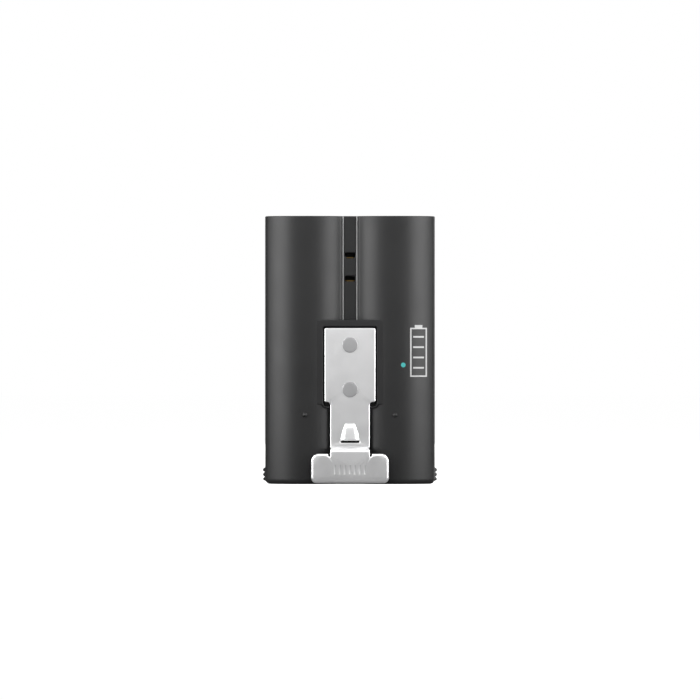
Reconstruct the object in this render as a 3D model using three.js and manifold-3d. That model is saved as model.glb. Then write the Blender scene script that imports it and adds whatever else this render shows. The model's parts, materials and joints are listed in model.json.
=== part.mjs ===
// The removable battery pack of a video doorbell, as an assembly of its real pieces, in millimetres.
// +Z runs up the case to the end that enters the doorbell first, -Y is the side with the release latch,
// and the origin is the middle of the bottom end's face.
import * as THREE from "three";
import { ConvexGeometry } from "three/addons/geometries/ConvexGeometry.js";
import { mergeVertices } from "three/addons/utils/BufferGeometryUtils.js";
import Module from "manifold-3d";

const wasm = await Module();
wasm.setup();

// ---------- driving dimensions ----------

const CASE = { halfWidth: 22.2, height: 70, rear: 10.6, wall: 1.2, endWall: 1.3 };
const LOBE = { x: 11.8, crest: -10.35, radius: 13.4, sideRadius: 3, rearRadius: 6 };
const GROOVE = { floor: -6.35, railX: 1.77, railHalf: 0.18, railHeight: 0.3, root: 0.2 };
const SEAM = { y: 1, gap: 0.06, tongue: 1, tongueInset: 0.65, clearance: 0.1, root: 0.6 };
const GRIP = { heights: [1.2, 2.43, 3.66], radius: 0.55, stands: 0.6, from: -3.6, to: 5.2 };
const PIP = { height: 18.05, radius: 0.6, stands: 0.5 };
const CRADLE = { heights: [12, 34, 57], thickness: 1, middle: 7.6, clearance: 0.2, root: 0.3 };
const POST = { radius: 1.15, pin: 0.55, pinStands: 0.3, root: 0.3, hole: 0.7 };

const DECK = {
  halfWidth: 8.6,
  face: -9.97,
  bottom: 20.8,
  top: 42.8,
  wall: 1.3,
  coreHalf: 6.8,
  coreY: -8.3,
  root: 0.6,
  lowCorner: 1.6,
  highCorner: 0.1,
};
const POCKET = {
  halfWidth: 7.08,
  bottom: 20.2,
  top: 41.2,
  floor: -9.3,
  lip: 0.35,
  lowCorner: 1.3,
  highCorner: 0.6,
};
const FLEX_RELIEF = { halfWidth: 6.68, bottom: 19.5, top: 21.2, floor: -8.7 };
const CHANNEL = { halfWidth: 5.5, floor: -8, bottom: 7.8, overlap: 0.3 };
const SLOT = { halfWidth: 1.435, halfHeight: 0.78, heights: [59.7, 53.63] };

const BLADE = { halfWidth: 1.25, front: -3.4, pocketEnd: 0, rear: 3.2, low: 0.1, thickness: 0.3 };
const CARRIER = { halfWidth: 2.1, rear: 2.2, bottom: 50, top: 63.2 };
const CONTACT_WIRE = { radius: 0.55, bend: 1.6, fall: 4, ease: 0.6 };

const SHEET = 0.5; // thickness of the latch's spring steel
const PLATE = { face: -9.85, halfWidth: 6.63, top: 40.72, shoulder: 21.4, corner: 0.45, lowCorner: 0.4 };
const NECK = { halfWidth: 5.145, flex: 20.4, flexGap: 0.15, bend: 10, rampSide: 0.35, fillet: 0.8 };
const TAB = { face: -13.4, halfWidth: 10.14, bottom: 0.25, top: 8, bend: 9.4, edge: 0.9 };
const TAB_CORNER = { low: 1.45, high: 2.05 };
const NOTCH = { x: 5.42, halfWidth: 0.27, depth: 0.86 };
const CATCH = {
  base: 2.2,
  tip: 1.3,
  ridge: 1.05,
  stands: 1.05,
  tipStands: 0.05,
  bottom: 11.35,
  top: 15.8,
  skin: 0.35,
  root: 0.2,
};
const LANCE = { halfWidth: 2.5, height: 0.55 };
const RIVET = {
  heights: [36.33, 24.7],
  head: 2.015,
  headHeight: 0.28,
  shank: 1.1,
  tail: 1.8,
  seat: 0.02,
  clear: 0.1,
};
const BACKING = { halfWidth: 3, bottom: 22.6, top: 38.6, thickness: 0.6, corner: 1 };

const CELL = { x: 11.6, y: 0.1, radius: 9.15, bottom: 2.2, top: 66.3, buttonTop: 67.4 };
const CELL_WALL = { sleeve: 0.12, can: 0.25 };
const CRIMP = { bead: 3.4, beadHalf: 0.6, beadDepth: 0.7, rim: 1.2, rimThickness: 0.3 };
const WINDING = { core: 1.5, below: 0.6, above: 5, clear: 0.15 };
const GASKET = { inner: 6.4, bottom: 1.6, step: 0.35, top: 0.05 };
const CAP = {
  radius: 6.35,
  bottom: 1.4,
  shoulder: 0.9,
  neck: 4.6,
  neckTop: 0.6,
  button: 3.1,
  face: 2.8,
  round: 0.3,
};
const SLEEVE = { opening: 7.2, lip: 0.1, clear: 0.02 };
const BUS = { thickness: 0.2, halfDepth: 3.5, reach: 15.5, leg: 2.2, legBottom: 56.5, gap: 0.15 };
const BUS_TAIL = { halfWidth: 1.5, rise: 4.6, step: 7.4, top: 10 };
const SPACER = { halfWidth: 3, front: -3.4, rear: 3.6, bottom: 12, top: 46, clearance: 0.15 };
const SPACER_NOTCH = { front: -1.2, rear: 5, bottom: 26.5, top: 33.5 };
const BOARD = {
  halfWidth: 6.2,
  near: 8.3,
  far: 9.1,
  bottom: 1.9,
  top: 60,
  corner: 0.6,
  holeX: 4.9,
  holes: [12, 54],
};
const USB = { halfWidth: 3.75, near: 5.6, far: 8.2, chamfer: 0.85, wall: 0.25, bottom: 0.45, top: 5.5 };
const USB_CORE = { bottom: 3.7, below: 0.2 };
const USB_TONGUE = { halfWidth: 1.75, near: 6.8, far: 7.4, bottom: 1.2, top: 4 };
const BEZEL = {
  halfWidth: 7,
  near: 4.95,
  far: 9.2,
  corner: 1.2,
  recess: 0.15,
  flange: 0.5,
  flangeThickness: 0.4,
  clear: 0.1,
  usbClear: 0.15,
};
const LIGHT = { x: 5, y: 7.5, radius: 0.7, top: 2.8 };
const LED = { halfWidth: 0.6, depth: 0.9, gap: 0.15, height: 1.35 };
const LABEL = { halfWidth: 15, bottom: 14, top: 58, recess: 0.25, thickness: 0.15, margin: 0.2, corner: 1 };
const BEAD = { radius: 1, stretch: 1.4, y: 1, z: 30 };
const LEAD = { radius: 0.22, spread: 0.45, padSpread: 1.4, fall: 2 };

const FOAM = {
  inset: 2.2,
  halfWidth: 19,
  front: -6,
  rearTop: 6,
  rearBottom: 4,
  topFrom: 67.75,
  topTo: 68.6,
  bottomTo: 1.8,
};

const FIT = 0.05; // clearance between pieces that touch
const BEYOND = 1; // how far a cutting solid runs past the face that it opens
const SOLDER_GAP = 0.25; // between a wire's slanted end and the board
const ARC_STEP = THREE.MathUtils.degToRad(8);
const ROUND = 32; // facets of a large round piece
const SMALL_ROUND = 16; // facets of a small one
const SMALLEST_ROUND = 12; // facets of a pin
const FAR = 40; // past every face of the case
const INSIDE_SHEET = PLATE.face + SHEET;

// ---------- geometry helpers ----------

// Turns a closed geometry into a solid that can be joined and cut.
function solid(geometry) {
  const bare = geometry.index ? geometry.toNonIndexed() : geometry.clone();
  bare.deleteAttribute("normal");
  bare.deleteAttribute("uv");
  const merged = mergeVertices(bare, 1e-4);
  return new wasm.Manifold(
    new wasm.Mesh({
      numProp: 3,
      vertProperties: new Float32Array(merged.attributes.position.array),
      triVerts: new Uint32Array(merged.index.array),
    }),
  );
}

function geometryOf(manifold) {
  const mesh = manifold.getMesh();
  const geometry = new THREE.BufferGeometry();
  geometry.setAttribute("position", new THREE.BufferAttribute(mesh.vertProperties, 3));
  geometry.setIndex(new THREE.BufferAttribute(mesh.triVerts, 1));
  geometry.computeVertexNormals();
  return geometry;
}

function join(...solids) {
  return solids.reduce((all, next) => all.add(next));
}

function cut(from, ...solids) {
  return solids.reduce((rest, next) => rest.subtract(next), from);
}

// A box between two corners.
function box([x0, y0, z0], [x1, y1, z1]) {
  const geometry = new THREE.BoxGeometry(x1 - x0, y1 - y0, z1 - z0);
  return solid(geometry.translate((x0 + x1) / 2, (y0 + y1) / 2, (z0 + z1) / 2));
}

// A box centred on x = 0.
function midBox(halfWidth, y0, y1, z0, z1) {
  return box([-halfWidth, y0, z0], [halfWidth, y1, z1]);
}

// Points along an arc, in degrees, counter-clockwise when to is larger than from.
function arc(cx, cy, radius, from, to) {
  const start = THREE.MathUtils.degToRad(from);
  const sweep = THREE.MathUtils.degToRad(to) - start;
  const steps = Math.max(2, Math.ceil(Math.abs(sweep) / ARC_STEP));
  return Array.from({ length: steps + 1 }, (_, i) => {
    const angle = start + (sweep * i) / steps;
    return new THREE.Vector2(cx + radius * Math.cos(angle), cy + radius * Math.sin(angle));
  });
}

// Closes the right half of an outline, listed counter-clockwise from bottom to top, with its mirror image.
function mirrored(right) {
  return [...right, ...right.map((p) => new THREE.Vector2(-p.x, p.y)).reverse()];
}

function extrude(points, depth, axisU, axisV, axisDepth) {
  const geometry = new THREE.ExtrudeGeometry(new THREE.Shape(points), { depth, bevelEnabled: false });
  return geometry.applyMatrix4(new THREE.Matrix4().makeBasis(axisU, axisV, axisDepth));
}

const X = new THREE.Vector3(1, 0, 0);
const Y = new THREE.Vector3(0, 1, 0);
const Z = new THREE.Vector3(0, 0, 1);
const FRONT = new THREE.Vector3(0, -1, 0);

// An outline in x and y, extruded up.
function prismUp(points, z0, z1) {
  return solid(extrude(points, z1 - z0, X, Y, Z).translate(0, 0, z0));
}

// An outline in x and z, extruded from y0 to y1.
function prismBack(points, y0, y1) {
  return solid(extrude(points, y1 - y0, X, Z, FRONT).translate(0, y1, 0));
}

// An outline in y and z, extruded across from -halfWidth to halfWidth.
function prismAcross(points, halfWidth) {
  return solid(extrude(points, 2 * halfWidth, Y, Z, X).translate(-halfWidth, 0, 0));
}

// A rectangle centred on x = 0 with rounded lower and upper corners.
function roundedRect(halfWidth, low, high, lowRadius, highRadius = lowRadius) {
  return mirrored([
    ...arc(halfWidth - lowRadius, low + lowRadius, lowRadius, -90, 0),
    ...arc(halfWidth - highRadius, high - highRadius, highRadius, 0, 90),
  ]);
}

function postUp(x, y, radius, z0, z1, facets = SMALL_ROUND) {
  const geometry = new THREE.CylinderGeometry(radius, radius, z1 - z0, facets).rotateX(Math.PI / 2);
  return solid(geometry.translate(x, y, (z0 + z1) / 2));
}

function postBack(x, z, radius, y0, y1, facets = SMALL_ROUND) {
  const geometry = new THREE.CylinderGeometry(radius, radius, y1 - y0, facets);
  return solid(geometry.translate(x, (y0 + y1) / 2, z));
}

// A turned piece about +Z: profile is [radius, height] pairs from the lowest point, counter-clockwise.
function turnedUp(x, y, profile, facets = ROUND) {
  const points = profile.map(([radius, height]) => new THREE.Vector2(radius, height));
  return solid(new THREE.LatheGeometry(points, facets).rotateX(Math.PI / 2).translate(x, y, 0));
}

// A round wire of the given radius through a few points.
function wire(points, radius, steps = 8) {
  const path = new THREE.CatmullRomCurve3(points.map((p) => new THREE.Vector3(...p)));
  const section = new THREE.Shape(arc(0, 0, radius, 0, 360).slice(0, -1).filter((_, i) => i % 5 === 0));
  return solid(new THREE.ExtrudeGeometry(section, { steps, extrudePath: path, bevelEnabled: false }));
}

// ---------- materials ----------

function finish(color, roughness, metalness = 0) {
  return new THREE.MeshStandardMaterial({ color, roughness, metalness });
}

const MATERIALS = {
  casePlastic: finish(0x2e2e2e, 0.5),
  latchSteel: finish(0xc4c4c6, 0.35, 1),
  rivetSteel: finish(0x98989a, 0.45, 1),
  contactGold: finish(0xd9b45a, 0.25, 1),
  carrierPlastic: finish(0x1f1f1f, 0.6),
  cellSleeve: finish(0x3b6ea8, 0.4),
  cellSteel: finish(0xb9bbbf, 0.3, 1),
  foilWinding: finish(0x9c6b4a, 0.5, 1),
  gasketWhite: finish(0xe8e6dd, 0.7),
  nickel: finish(0xbdb9b0, 0.3, 1),
  foam: finish(0x1a1a1c, 0.95),
  spacerPlastic: finish(0xe4e1d8, 0.6),
  boardGreen: finish(0x1f5b3a, 0.45),
  chipBlack: finish(0x151515, 0.5),
  ferrite: finish(0x3a3a3d, 0.6),
  ceramic: finish(0xb08f6a, 0.6),
  portSteel: finish(0xa8aaad, 0.3, 1),
  clearPlastic: finish(0xe9ecef, 0.15),
  ledLens: finish(0xf3f3e8, 0.2),
  wireRed: finish(0xb02522, 0.55),
  wireBlack: finish(0x1b1b1b, 0.55),
  epoxy: finish(0x20242b, 0.35),
  labelVinyl: finish(0x26272a, 0.6),
};

// The depths above are measured from the cells' side of the case; the group moves the pack so that y = 0 is
// half-way between its rear face and the face of its push tab.
const pack = new THREE.Group();
pack.name = "battery_pack";
pack.position.y = -(CASE.rear + TAB.face) / 2;

function addPiece(name, shape, material, parent = pack) {
  const mesh = new THREE.Mesh(geometryOf(shape), material);
  mesh.name = name;
  parent.add(mesh);
  return mesh;
}

// ---------- case ----------

// The case's cross-section, moved inwards by inset: a front lobe over each cell, flat sides and a flat back.
function caseOutline(inset) {
  const radius = LOBE.radius - inset;
  const lobeY = LOBE.crest + LOBE.radius;
  const sideX = CASE.halfWidth - LOBE.sideRadius;
  const sideDrop = Math.sqrt((LOBE.radius - LOBE.sideRadius) ** 2 - (sideX - LOBE.x) ** 2);
  const blend = -THREE.MathUtils.radToDeg(Math.atan2(sideDrop, sideX - LOBE.x));
  const valley = THREE.MathUtils.radToDeg(Math.asin((GROOVE.floor + inset - lobeY) / radius));
  const rearX = CASE.halfWidth - LOBE.rearRadius;
  const rearY = CASE.rear - LOBE.rearRadius;
  return mirrored([
    ...arc(LOBE.x, lobeY, radius, -180 - valley, blend),
    ...arc(sideX, lobeY - sideDrop, LOBE.sideRadius - inset, blend, 0).slice(1),
    ...arc(rearX, rearY, LOBE.rearRadius - inset, 0, 90),
  ]);
}

// The two cells' space, with the given clearance round each.
function cellSpace(clearance, z0, z1) {
  const radius = CELL.radius + clearance;
  return join(...[-1, 1].map((side) => postUp(side * CELL.x, CELL.y, radius, z0, z1, ROUND)));
}

// The flat deck that carries the latch, across the valley between the lobes.
function latchDeck() {
  const { halfWidth, face, bottom, top } = DECK;
  const lipHalf = POCKET.halfWidth + POCKET.lip;
  const lip = roundedRect(lipHalf, POCKET.bottom - POCKET.lip, top, DECK.lowCorner, DECK.highCorner);
  const back = GROOVE.floor + DECK.root;
  return join(midBox(halfWidth, face, back, bottom, top), prismBack(lip, face, back));
}

function latchCuts() {
  const front = LOBE.crest - BEYOND;
  const inside = GROOVE.floor + CASE.wall + BEYOND;
  const { halfWidth, bottom, top, floor, lowCorner, highCorner } = POCKET;
  return [
    midBox(DECK.coreHalf, DECK.coreY, inside, DECK.bottom + DECK.wall, DECK.top - DECK.wall),
    prismBack(roundedRect(halfWidth, bottom, top, lowCorner, highCorner), front, floor),
    midBox(FLEX_RELIEF.halfWidth, front, FLEX_RELIEF.floor, FLEX_RELIEF.bottom, FLEX_RELIEF.top),
    midBox(CHANNEL.halfWidth, front, CHANNEL.floor, CHANNEL.bottom, bottom + CHANNEL.overlap),
    ...RIVET.heights.map((z) => postBack(0, z, RIVET.shank + RIVET.clear, front, DECK.coreY + BEYOND)),
  ];
}

function contactSlots() {
  const front = GROOVE.floor - BEYOND;
  const inside = GROOVE.floor + CASE.wall + BEYOND;
  return SLOT.heights.map((z) =>
    midBox(SLOT.halfWidth, front, inside, z - SLOT.halfHeight, z + SLOT.halfHeight),
  );
}

function grooveRail(side) {
  const x = side * GROOVE.railX;
  return box(
    [x - GROOVE.railHalf, GROOVE.floor - GROOVE.railHeight, DECK.top - GROOVE.root],
    [x + GROOVE.railHalf, GROOVE.floor + GROOVE.root, CASE.height],
  );
}

function sideGrips() {
  const x = CASE.halfWidth + GRIP.stands - GRIP.radius;
  return [-1, 1].flatMap((side) =>
    GRIP.heights.map((z) => postBack(side * x, z, GRIP.radius, GRIP.from, GRIP.to, SMALLEST_ROUND)),
  );
}

function frontPips() {
  return [-1, 1].map((side) =>
    solid(
      new THREE.SphereGeometry(PIP.radius, SMALLEST_ROUND, SMALLEST_ROUND / 2).translate(
        side * LOBE.x,
        LOBE.crest + PIP.radius - PIP.stands,
        PIP.height,
      ),
    ),
  );
}

// Ribs in the rear shell that cradle the cells' outer sides.
function cradleRibs() {
  const { heights, thickness, middle, clearance, root } = CRADLE;
  const inside = join(
    midBox(middle, -FAR, FAR, 0, CASE.height),
    midBox(FAR, -FAR, SEAM.y + SEAM.tongue + 2 * clearance, 0, CASE.height),
    cellSpace(clearance, 0, CASE.height),
  );
  return heights.map((z) => prismUp(caseOutline(CASE.wall - root), z, z + thickness).subtract(inside));
}

// Bosses and stake pins in the rear shell that carry the board.
function boardPosts() {
  const inner = CASE.rear - CASE.wall;
  return BOARD.holes.flatMap((z) =>
    [-1, 1].map((side) =>
      join(
        postBack(side * BOARD.holeX, z, POST.radius, BOARD.far + FIT, inner + POST.root, SMALLEST_ROUND),
        postBack(side * BOARD.holeX, z, POST.pin, BOARD.near - POST.pinStands, inner, SMALLEST_ROUND),
      ),
    ),
  );
}

function portOpening(grow, z0, z1) {
  const { halfWidth, near, far, clear, corner } = BEZEL;
  const rear = far + Math.min(grow, clear);
  return prismUp(roundedRect(halfWidth + grow, near - grow, rear, corner + grow), z0, z1);
}

// The hollow case before it is parted along its seam.
function wholeCase() {
  const cavity = prismUp(caseOutline(CASE.wall), CASE.endWall, CASE.height - CASE.endWall);
  const skin = join(
    prismUp(caseOutline(0), 0, CASE.height),
    latchDeck(),
    grooveRail(-1),
    grooveRail(1),
    ...sideGrips(),
    ...frontPips(),
  );
  return { cavity, shell: cut(skin, cavity, ...latchCuts(), ...contactSlots()) };
}

function buildCase() {
  const { cavity, shell } = wholeCase();
  const tongueRing = (inset) => prismUp(caseOutline(inset), inset, CASE.height - inset).subtract(cavity);
  const slab = (y0, y1) => midBox(FAR, y0, y1, -BEYOND, CASE.height + BEYOND);
  const frontHalf = slab(-FAR, SEAM.y - SEAM.gap / 2);
  const rearHalf = slab(SEAM.y + SEAM.gap / 2, FAR);
  const tongue = tongueRing(SEAM.tongueInset).intersect(slab(SEAM.y - SEAM.root, SEAM.y + SEAM.tongue));
  const tongueSlot = tongueRing(SEAM.tongueInset - SEAM.clearance).intersect(
    slab(SEAM.y - SEAM.root, SEAM.y + SEAM.tongue + SEAM.clearance),
  );
  const labelRecess = midBox(LABEL.halfWidth, CASE.rear - LABEL.recess, FAR, LABEL.bottom, LABEL.top);

  addPiece("front_shell", join(shell.intersect(frontHalf), tongue), MATERIALS.casePlastic);
  addPiece(
    "rear_shell",
    cut(
      join(shell.intersect(rearHalf).subtract(tongueSlot), ...cradleRibs(), ...boardPosts()),
      portOpening(BEZEL.clear, -BEYOND, CASE.endWall + BEYOND),
      labelRecess,
    ),
    MATERIALS.casePlastic,
  );
}

function buildPortBezel() {
  const seat = CASE.endWall + FIT;
  const top = seat + BEZEL.flangeThickness;
  const face = portOpening(0, BEZEL.recess, seat);
  const flange = portOpening(BEZEL.flange, seat, top);
  const usbHole = prismUp(usbOutline(-BEZEL.usbClear), -BEYOND, top + BEYOND);
  const lightHoles = [-1, 1].map((side) =>
    postUp(side * LIGHT.x, LIGHT.y, LIGHT.radius + FIT, -BEYOND, top + BEYOND),
  );
  addPiece("port_bezel", cut(join(face, flange), usbHole, ...lightHoles), MATERIALS.casePlastic);
}

function buildLabel() {
  const { halfWidth, bottom, top, recess, thickness, margin, corner } = LABEL;
  const outline = roundedRect(halfWidth - margin, bottom + margin, top - margin, corner);
  const floor = CASE.rear - recess + FIT / 2;
  addPiece("rear_label", prismBack(outline, floor, floor + thickness), MATERIALS.labelVinyl);
}

// ---------- release latch ----------

function rivetHoles(y0, y1) {
  return RIVET.heights.map((z) => postBack(0, z, RIVET.shank + RIVET.clear, y0 - BEYOND, y1 + BEYOND));
}

function buildLatchPlate() {
  const { halfWidth, top, shoulder, corner, lowCorner } = PLATE;
  const { fillet } = NECK;
  const outline = mirrored([
    new THREE.Vector2(NECK.halfWidth, NECK.flex + NECK.flexGap),
    ...arc(NECK.halfWidth + fillet, shoulder - fillet, fillet, 180, 90),
    ...arc(halfWidth - lowCorner, shoulder + lowCorner, lowCorner, -90, 0),
    ...arc(halfWidth - corner, top - corner, corner, 0, 90),
  ]);
  const holes = rivetHoles(PLATE.face, INSIDE_SHEET);
  addPiece("latch_plate", cut(prismBack(outline, PLATE.face, INSIDE_SHEET), ...holes), MATERIALS.latchSteel);
}

// The bent strip seen from the side: the neck, the ramp out to the push tab, and the middle of the tab.
function armStrip() {
  const { flex, flexGap, bend, rampSide } = NECK;
  const side = [
    [PLATE.face, flex - flexGap],
    [PLATE.face, bend],
    [TAB.face, TAB.bend],
    [TAB.face, TAB.bottom],
    [TAB.face + SHEET, TAB.bottom],
    [TAB.face + SHEET, TAB.bend - rampSide],
    [INSIDE_SHEET, bend - rampSide],
    [INSIDE_SHEET, flex - flexGap],
  ];
  return prismAcross(side.map(([y, z]) => new THREE.Vector2(y, z)), NECK.halfWidth);
}

// The raised hood lanced out of the neck, grown or shrunk by skin.
function catchHood(skin, depth) {
  const low = CATCH.bottom - (skin ? BEYOND : 0);
  const high = CATCH.top - skin;
  const end = (halfBase, z, stands) => [
    [halfBase - skin, depth, z],
    [CATCH.ridge - skin / 2, PLATE.face - stands + skin, z],
  ];
  const corners = [...end(CATCH.base, low, CATCH.stands), ...end(CATCH.tip, high, CATCH.tipStands)];
  return solid(
    new ConvexGeometry(
      corners.flatMap(([x, y, z]) => [new THREE.Vector3(x, y, z), new THREE.Vector3(-x, y, z)]),
    ),
  );
}

function buildLatchArm() {
  const { face, halfWidth, bottom, top, edge } = TAB;
  const { low, high } = TAB_CORNER;
  const outline = roundedRect(halfWidth, bottom, top, low, high);
  const inner = roundedRect(halfWidth - SHEET, bottom + SHEET, top - SHEET, low - SHEET, high - SHEET);
  const rim = cut(
    prismBack(outline, face + SHEET, face + edge),
    prismBack(inner, face, face + edge + BEYOND),
    midBox(NOTCH.x + NOTCH.halfWidth, face + SHEET, face + edge + BEYOND, top - BEYOND, top + BEYOND),
  );
  const notches = [-1, 1].map((side) =>
    box(
      [side * NOTCH.x - NOTCH.halfWidth, face - BEYOND, top - NOTCH.depth],
      [side * NOTCH.x + NOTCH.halfWidth, face + edge + BEYOND, top + BEYOND],
    ),
  );
  const lanceFront = PLATE.face - 0.01;
  const lanceLow = CATCH.bottom - LANCE.height;
  const lance = midBox(LANCE.halfWidth, lanceFront, INSIDE_SHEET + BEYOND, lanceLow, CATCH.bottom);
  const tab = join(prismBack(outline, face, face + SHEET), rim);
  const strip = join(armStrip(), catchHood(0, PLATE.face + CATCH.root));
  addPiece(
    "latch_arm",
    cut(join(strip, cut(tab, ...notches)), catchHood(CATCH.skin, INSIDE_SHEET + SHEET), lance),
    MATERIALS.latchSteel,
  );
}

function buildRivetsAndBacking() {
  const front = DECK.coreY + FIT;
  const rear = front + BACKING.thickness;
  const outline = roundedRect(BACKING.halfWidth, BACKING.bottom, BACKING.top, BACKING.corner);
  addPiece(
    "latch_backing_plate",
    cut(prismBack(outline, front, rear), ...rivetHoles(front, rear)),
    MATERIALS.cellSteel,
  );
  ["latch_rivet_upper", "latch_rivet_lower"].forEach((name, i) => {
    const z = RIVET.heights[i];
    const head = PLATE.face - RIVET.seat;
    const tail = rear + RIVET.seat;
    addPiece(
      name,
      join(
        postBack(0, z, RIVET.head, head - RIVET.headHeight, head, ROUND),
        postBack(0, z, RIVET.shank, head - RIVET.headHeight / 2, tail + RIVET.shank / 4),
        postBack(0, z, RIVET.tail, tail, tail + RIVET.shank / 2),
      ),
      MATERIALS.rivetSteel,
    );
  });
}

// ---------- contacts ----------

// Each slot runs on into a pocket of the carrier, with a contact blade lying along the pocket's lower side.
function buildContacts() {
  const { halfWidth, front, pocketEnd, rear, low, thickness } = BLADE;
  const carrierFront = GROOVE.floor + CASE.wall + FIT;
  let carrier = midBox(CARRIER.halfWidth, carrierFront, CARRIER.rear, CARRIER.bottom, CARRIER.top);
  ["upper", "lower"].forEach((which, i) => {
    const z = SLOT.heights[i];
    const base = z - SLOT.halfHeight + low;
    addPiece(
      "contact_blade_" + which,
      join(
        midBox(halfWidth, front, pocketEnd - FIT, base, base + thickness),
        midBox(halfWidth / 2, front, rear, base, base + thickness),
      ),
      MATERIALS.contactGold,
    );
    carrier = cut(
      carrier,
      midBox(SLOT.halfWidth, carrierFront - BEYOND, pocketEnd, z - SLOT.halfHeight, z + SLOT.halfHeight),
      midBox(halfWidth / 2 + FIT, carrierFront - BEYOND, rear, base - FIT, base + thickness + FIT),
    );
    const { radius, bend, fall, ease } = CONTACT_WIRE;
    const route = [
      [0, rear + SOLDER_GAP, z],
      [0, rear + bend, z - ease],
      [0, BOARD.near - bend, z - fall + ease],
      [0, BOARD.near - SOLDER_GAP, z - fall],
    ];
    addPiece("contact_wire_" + which, wire(route, radius), i ? MATERIALS.wireBlack : MATERIALS.wireRed);
  });
  addPiece("contact_carrier", carrier, MATERIALS.carrierPlastic);
}

// ---------- cells ----------

function canProfile(radius, inside) {
  const { bottom, top } = CELL;
  const { bead, beadHalf, beadDepth, rim, rimThickness } = CRIMP;
  return [
    [0, bottom],
    [radius, bottom],
    [radius, top - bead - beadHalf],
    [radius - beadDepth, top - bead],
    [radius, top - bead + beadHalf],
    [radius, top],
    [radius - rim, top],
    [radius - rim, top - rimThickness],
    [inside, top - rimThickness],
    [inside, top - bead + beadHalf + rimThickness],
    [inside - beadDepth, top - bead],
    [inside, top - bead - beadHalf - rimThickness],
    [inside, bottom + CELL_WALL.can],
    [0, bottom + CELL_WALL.can],
  ];
}

function windingProfile(inside) {
  const outer = inside - WINDING.clear;
  const low = CELL.bottom + WINDING.below;
  const high = CELL.top - WINDING.above;
  return [
    [WINDING.core, low],
    [outer, low],
    [outer, high],
    [WINDING.core, high],
    [WINDING.core, low],
  ];
}

// The insulating ring crimped between the can's rim and the cap.
function gasketProfile(rim, inside) {
  const { inner, bottom, step, top } = GASKET;
  return [
    [inner, CELL.top - bottom],
    [inside - FIT, CELL.top - bottom],
    [inside - FIT, CELL.top - step],
    [rim - FIT, CELL.top - step],
    [rim - FIT, CELL.top - top],
    [inner, CELL.top - top],
    [inner, CELL.top - bottom],
  ];
}

function capProfile() {
  const { radius, bottom, shoulder, neck, neckTop, button, face, round } = CAP;
  return [
    [0, CELL.top - bottom],
    [radius, CELL.top - bottom],
    [radius, CELL.top - shoulder],
    [neck, CELL.top - neckTop],
    [button, CELL.buttonTop - round],
    [face, CELL.buttonTop],
    [0, CELL.buttonTop],
  ];
}

// The heat-shrunk film, turned in over both ends.
function sleeveProfile() {
  const { opening, lip, clear } = SLEEVE;
  const inner = CELL.radius - CELL_WALL.sleeve;
  const low = CELL.bottom - clear;
  const high = CELL.top + clear;
  return [
    [opening, low - lip],
    [CELL.radius, low - lip],
    [CELL.radius, high + lip],
    [opening, high + lip],
    [opening, high],
    [inner, high],
    [inner, low],
    [opening, low],
    [opening, low - lip],
  ];
}

function buildCell(side, name) {
  const canRadius = CELL.radius - CELL_WALL.sleeve - FIT;
  const inside = canRadius - CELL_WALL.can;
  const rim = canRadius - CRIMP.rim;
  const pieces = {
    can: [canProfile(canRadius, inside), MATERIALS.cellSteel],
    winding: [windingProfile(inside), MATERIALS.foilWinding],
    gasket: [gasketProfile(rim, inside), MATERIALS.gasketWhite],
    positive_cap: [capProfile(), MATERIALS.cellSteel],
    sleeve: [sleeveProfile(), MATERIALS.cellSleeve],
  };
  for (const [piece, [profile, material]] of Object.entries(pieces)) {
    addPiece(`${name}_${piece}`, turnedUp(side * CELL.x, CELL.y, profile), material);
  }
}

function buildCells() {
  buildCell(-1, "cell_left");
  buildCell(1, "cell_right");
}

// The nickel strips that join the cells in parallel, each with a leg soldered to the board.
function buildBusStrips() {
  const { thickness, halfDepth, reach, leg, legBottom, gap } = BUS;
  const high = CELL.buttonTop + FIT;
  const pad = BOARD.near - FIT;
  addPiece(
    "bus_strip_positive",
    join(
      midBox(reach, CELL.y - halfDepth, CELL.y + halfDepth, high, high + thickness),
      midBox(leg, CELL.y, pad, high, high + thickness),
      midBox(leg, pad - thickness, pad, legBottom, high + thickness),
    ),
    MATERIALS.nickel,
  );
  const low = CELL.bottom - gap - thickness;
  const { halfWidth, rise, step, top } = BUS_TAIL;
  addPiece(
    "bus_strip_negative",
    join(
      midBox(reach, CELL.y - halfDepth, CELL.y + halfDepth, low, low + thickness),
      midBox(halfWidth, CELL.y, rise, low, low + thickness),
      midBox(halfWidth, rise - thickness, rise, low, step + thickness),
      midBox(halfWidth, rise - thickness, pad, step, step + thickness),
      midBox(halfWidth, pad - thickness, pad, step, top),
    ),
    MATERIALS.nickel,
  );
}

// The moulded strip that keeps the cells apart, with a notch for the thermistor.
function buildSpacer() {
  const { halfWidth, front, rear, bottom, top, clearance } = SPACER;
  const block = midBox(halfWidth, front, rear, bottom, top);
  const notch = midBox(
    halfWidth + BEYOND,
    SPACER_NOTCH.front,
    SPACER_NOTCH.rear,
    SPACER_NOTCH.bottom,
    SPACER_NOTCH.top,
  );
  addPiece("cell_spacer", cut(block, cellSpace(clearance, 0, CASE.height), notch), MATERIALS.spacerPlastic);
}

function buildFoamPads() {
  const { inset, halfWidth, front, rearTop, rearBottom, topFrom, topTo, bottomTo } = FOAM;
  const pad = (rear, z0, z1) =>
    prismUp(caseOutline(inset), z0, z1).intersect(midBox(halfWidth, front, rear, z0, z1));
  addPiece("foam_pad_top", pad(rearTop, topFrom, topTo), MATERIALS.foam);
  addPiece("foam_pad_bottom", pad(rearBottom, CASE.endWall + FIT, bottomTo), MATERIALS.foam);
}

// ---------- electronics ----------

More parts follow.
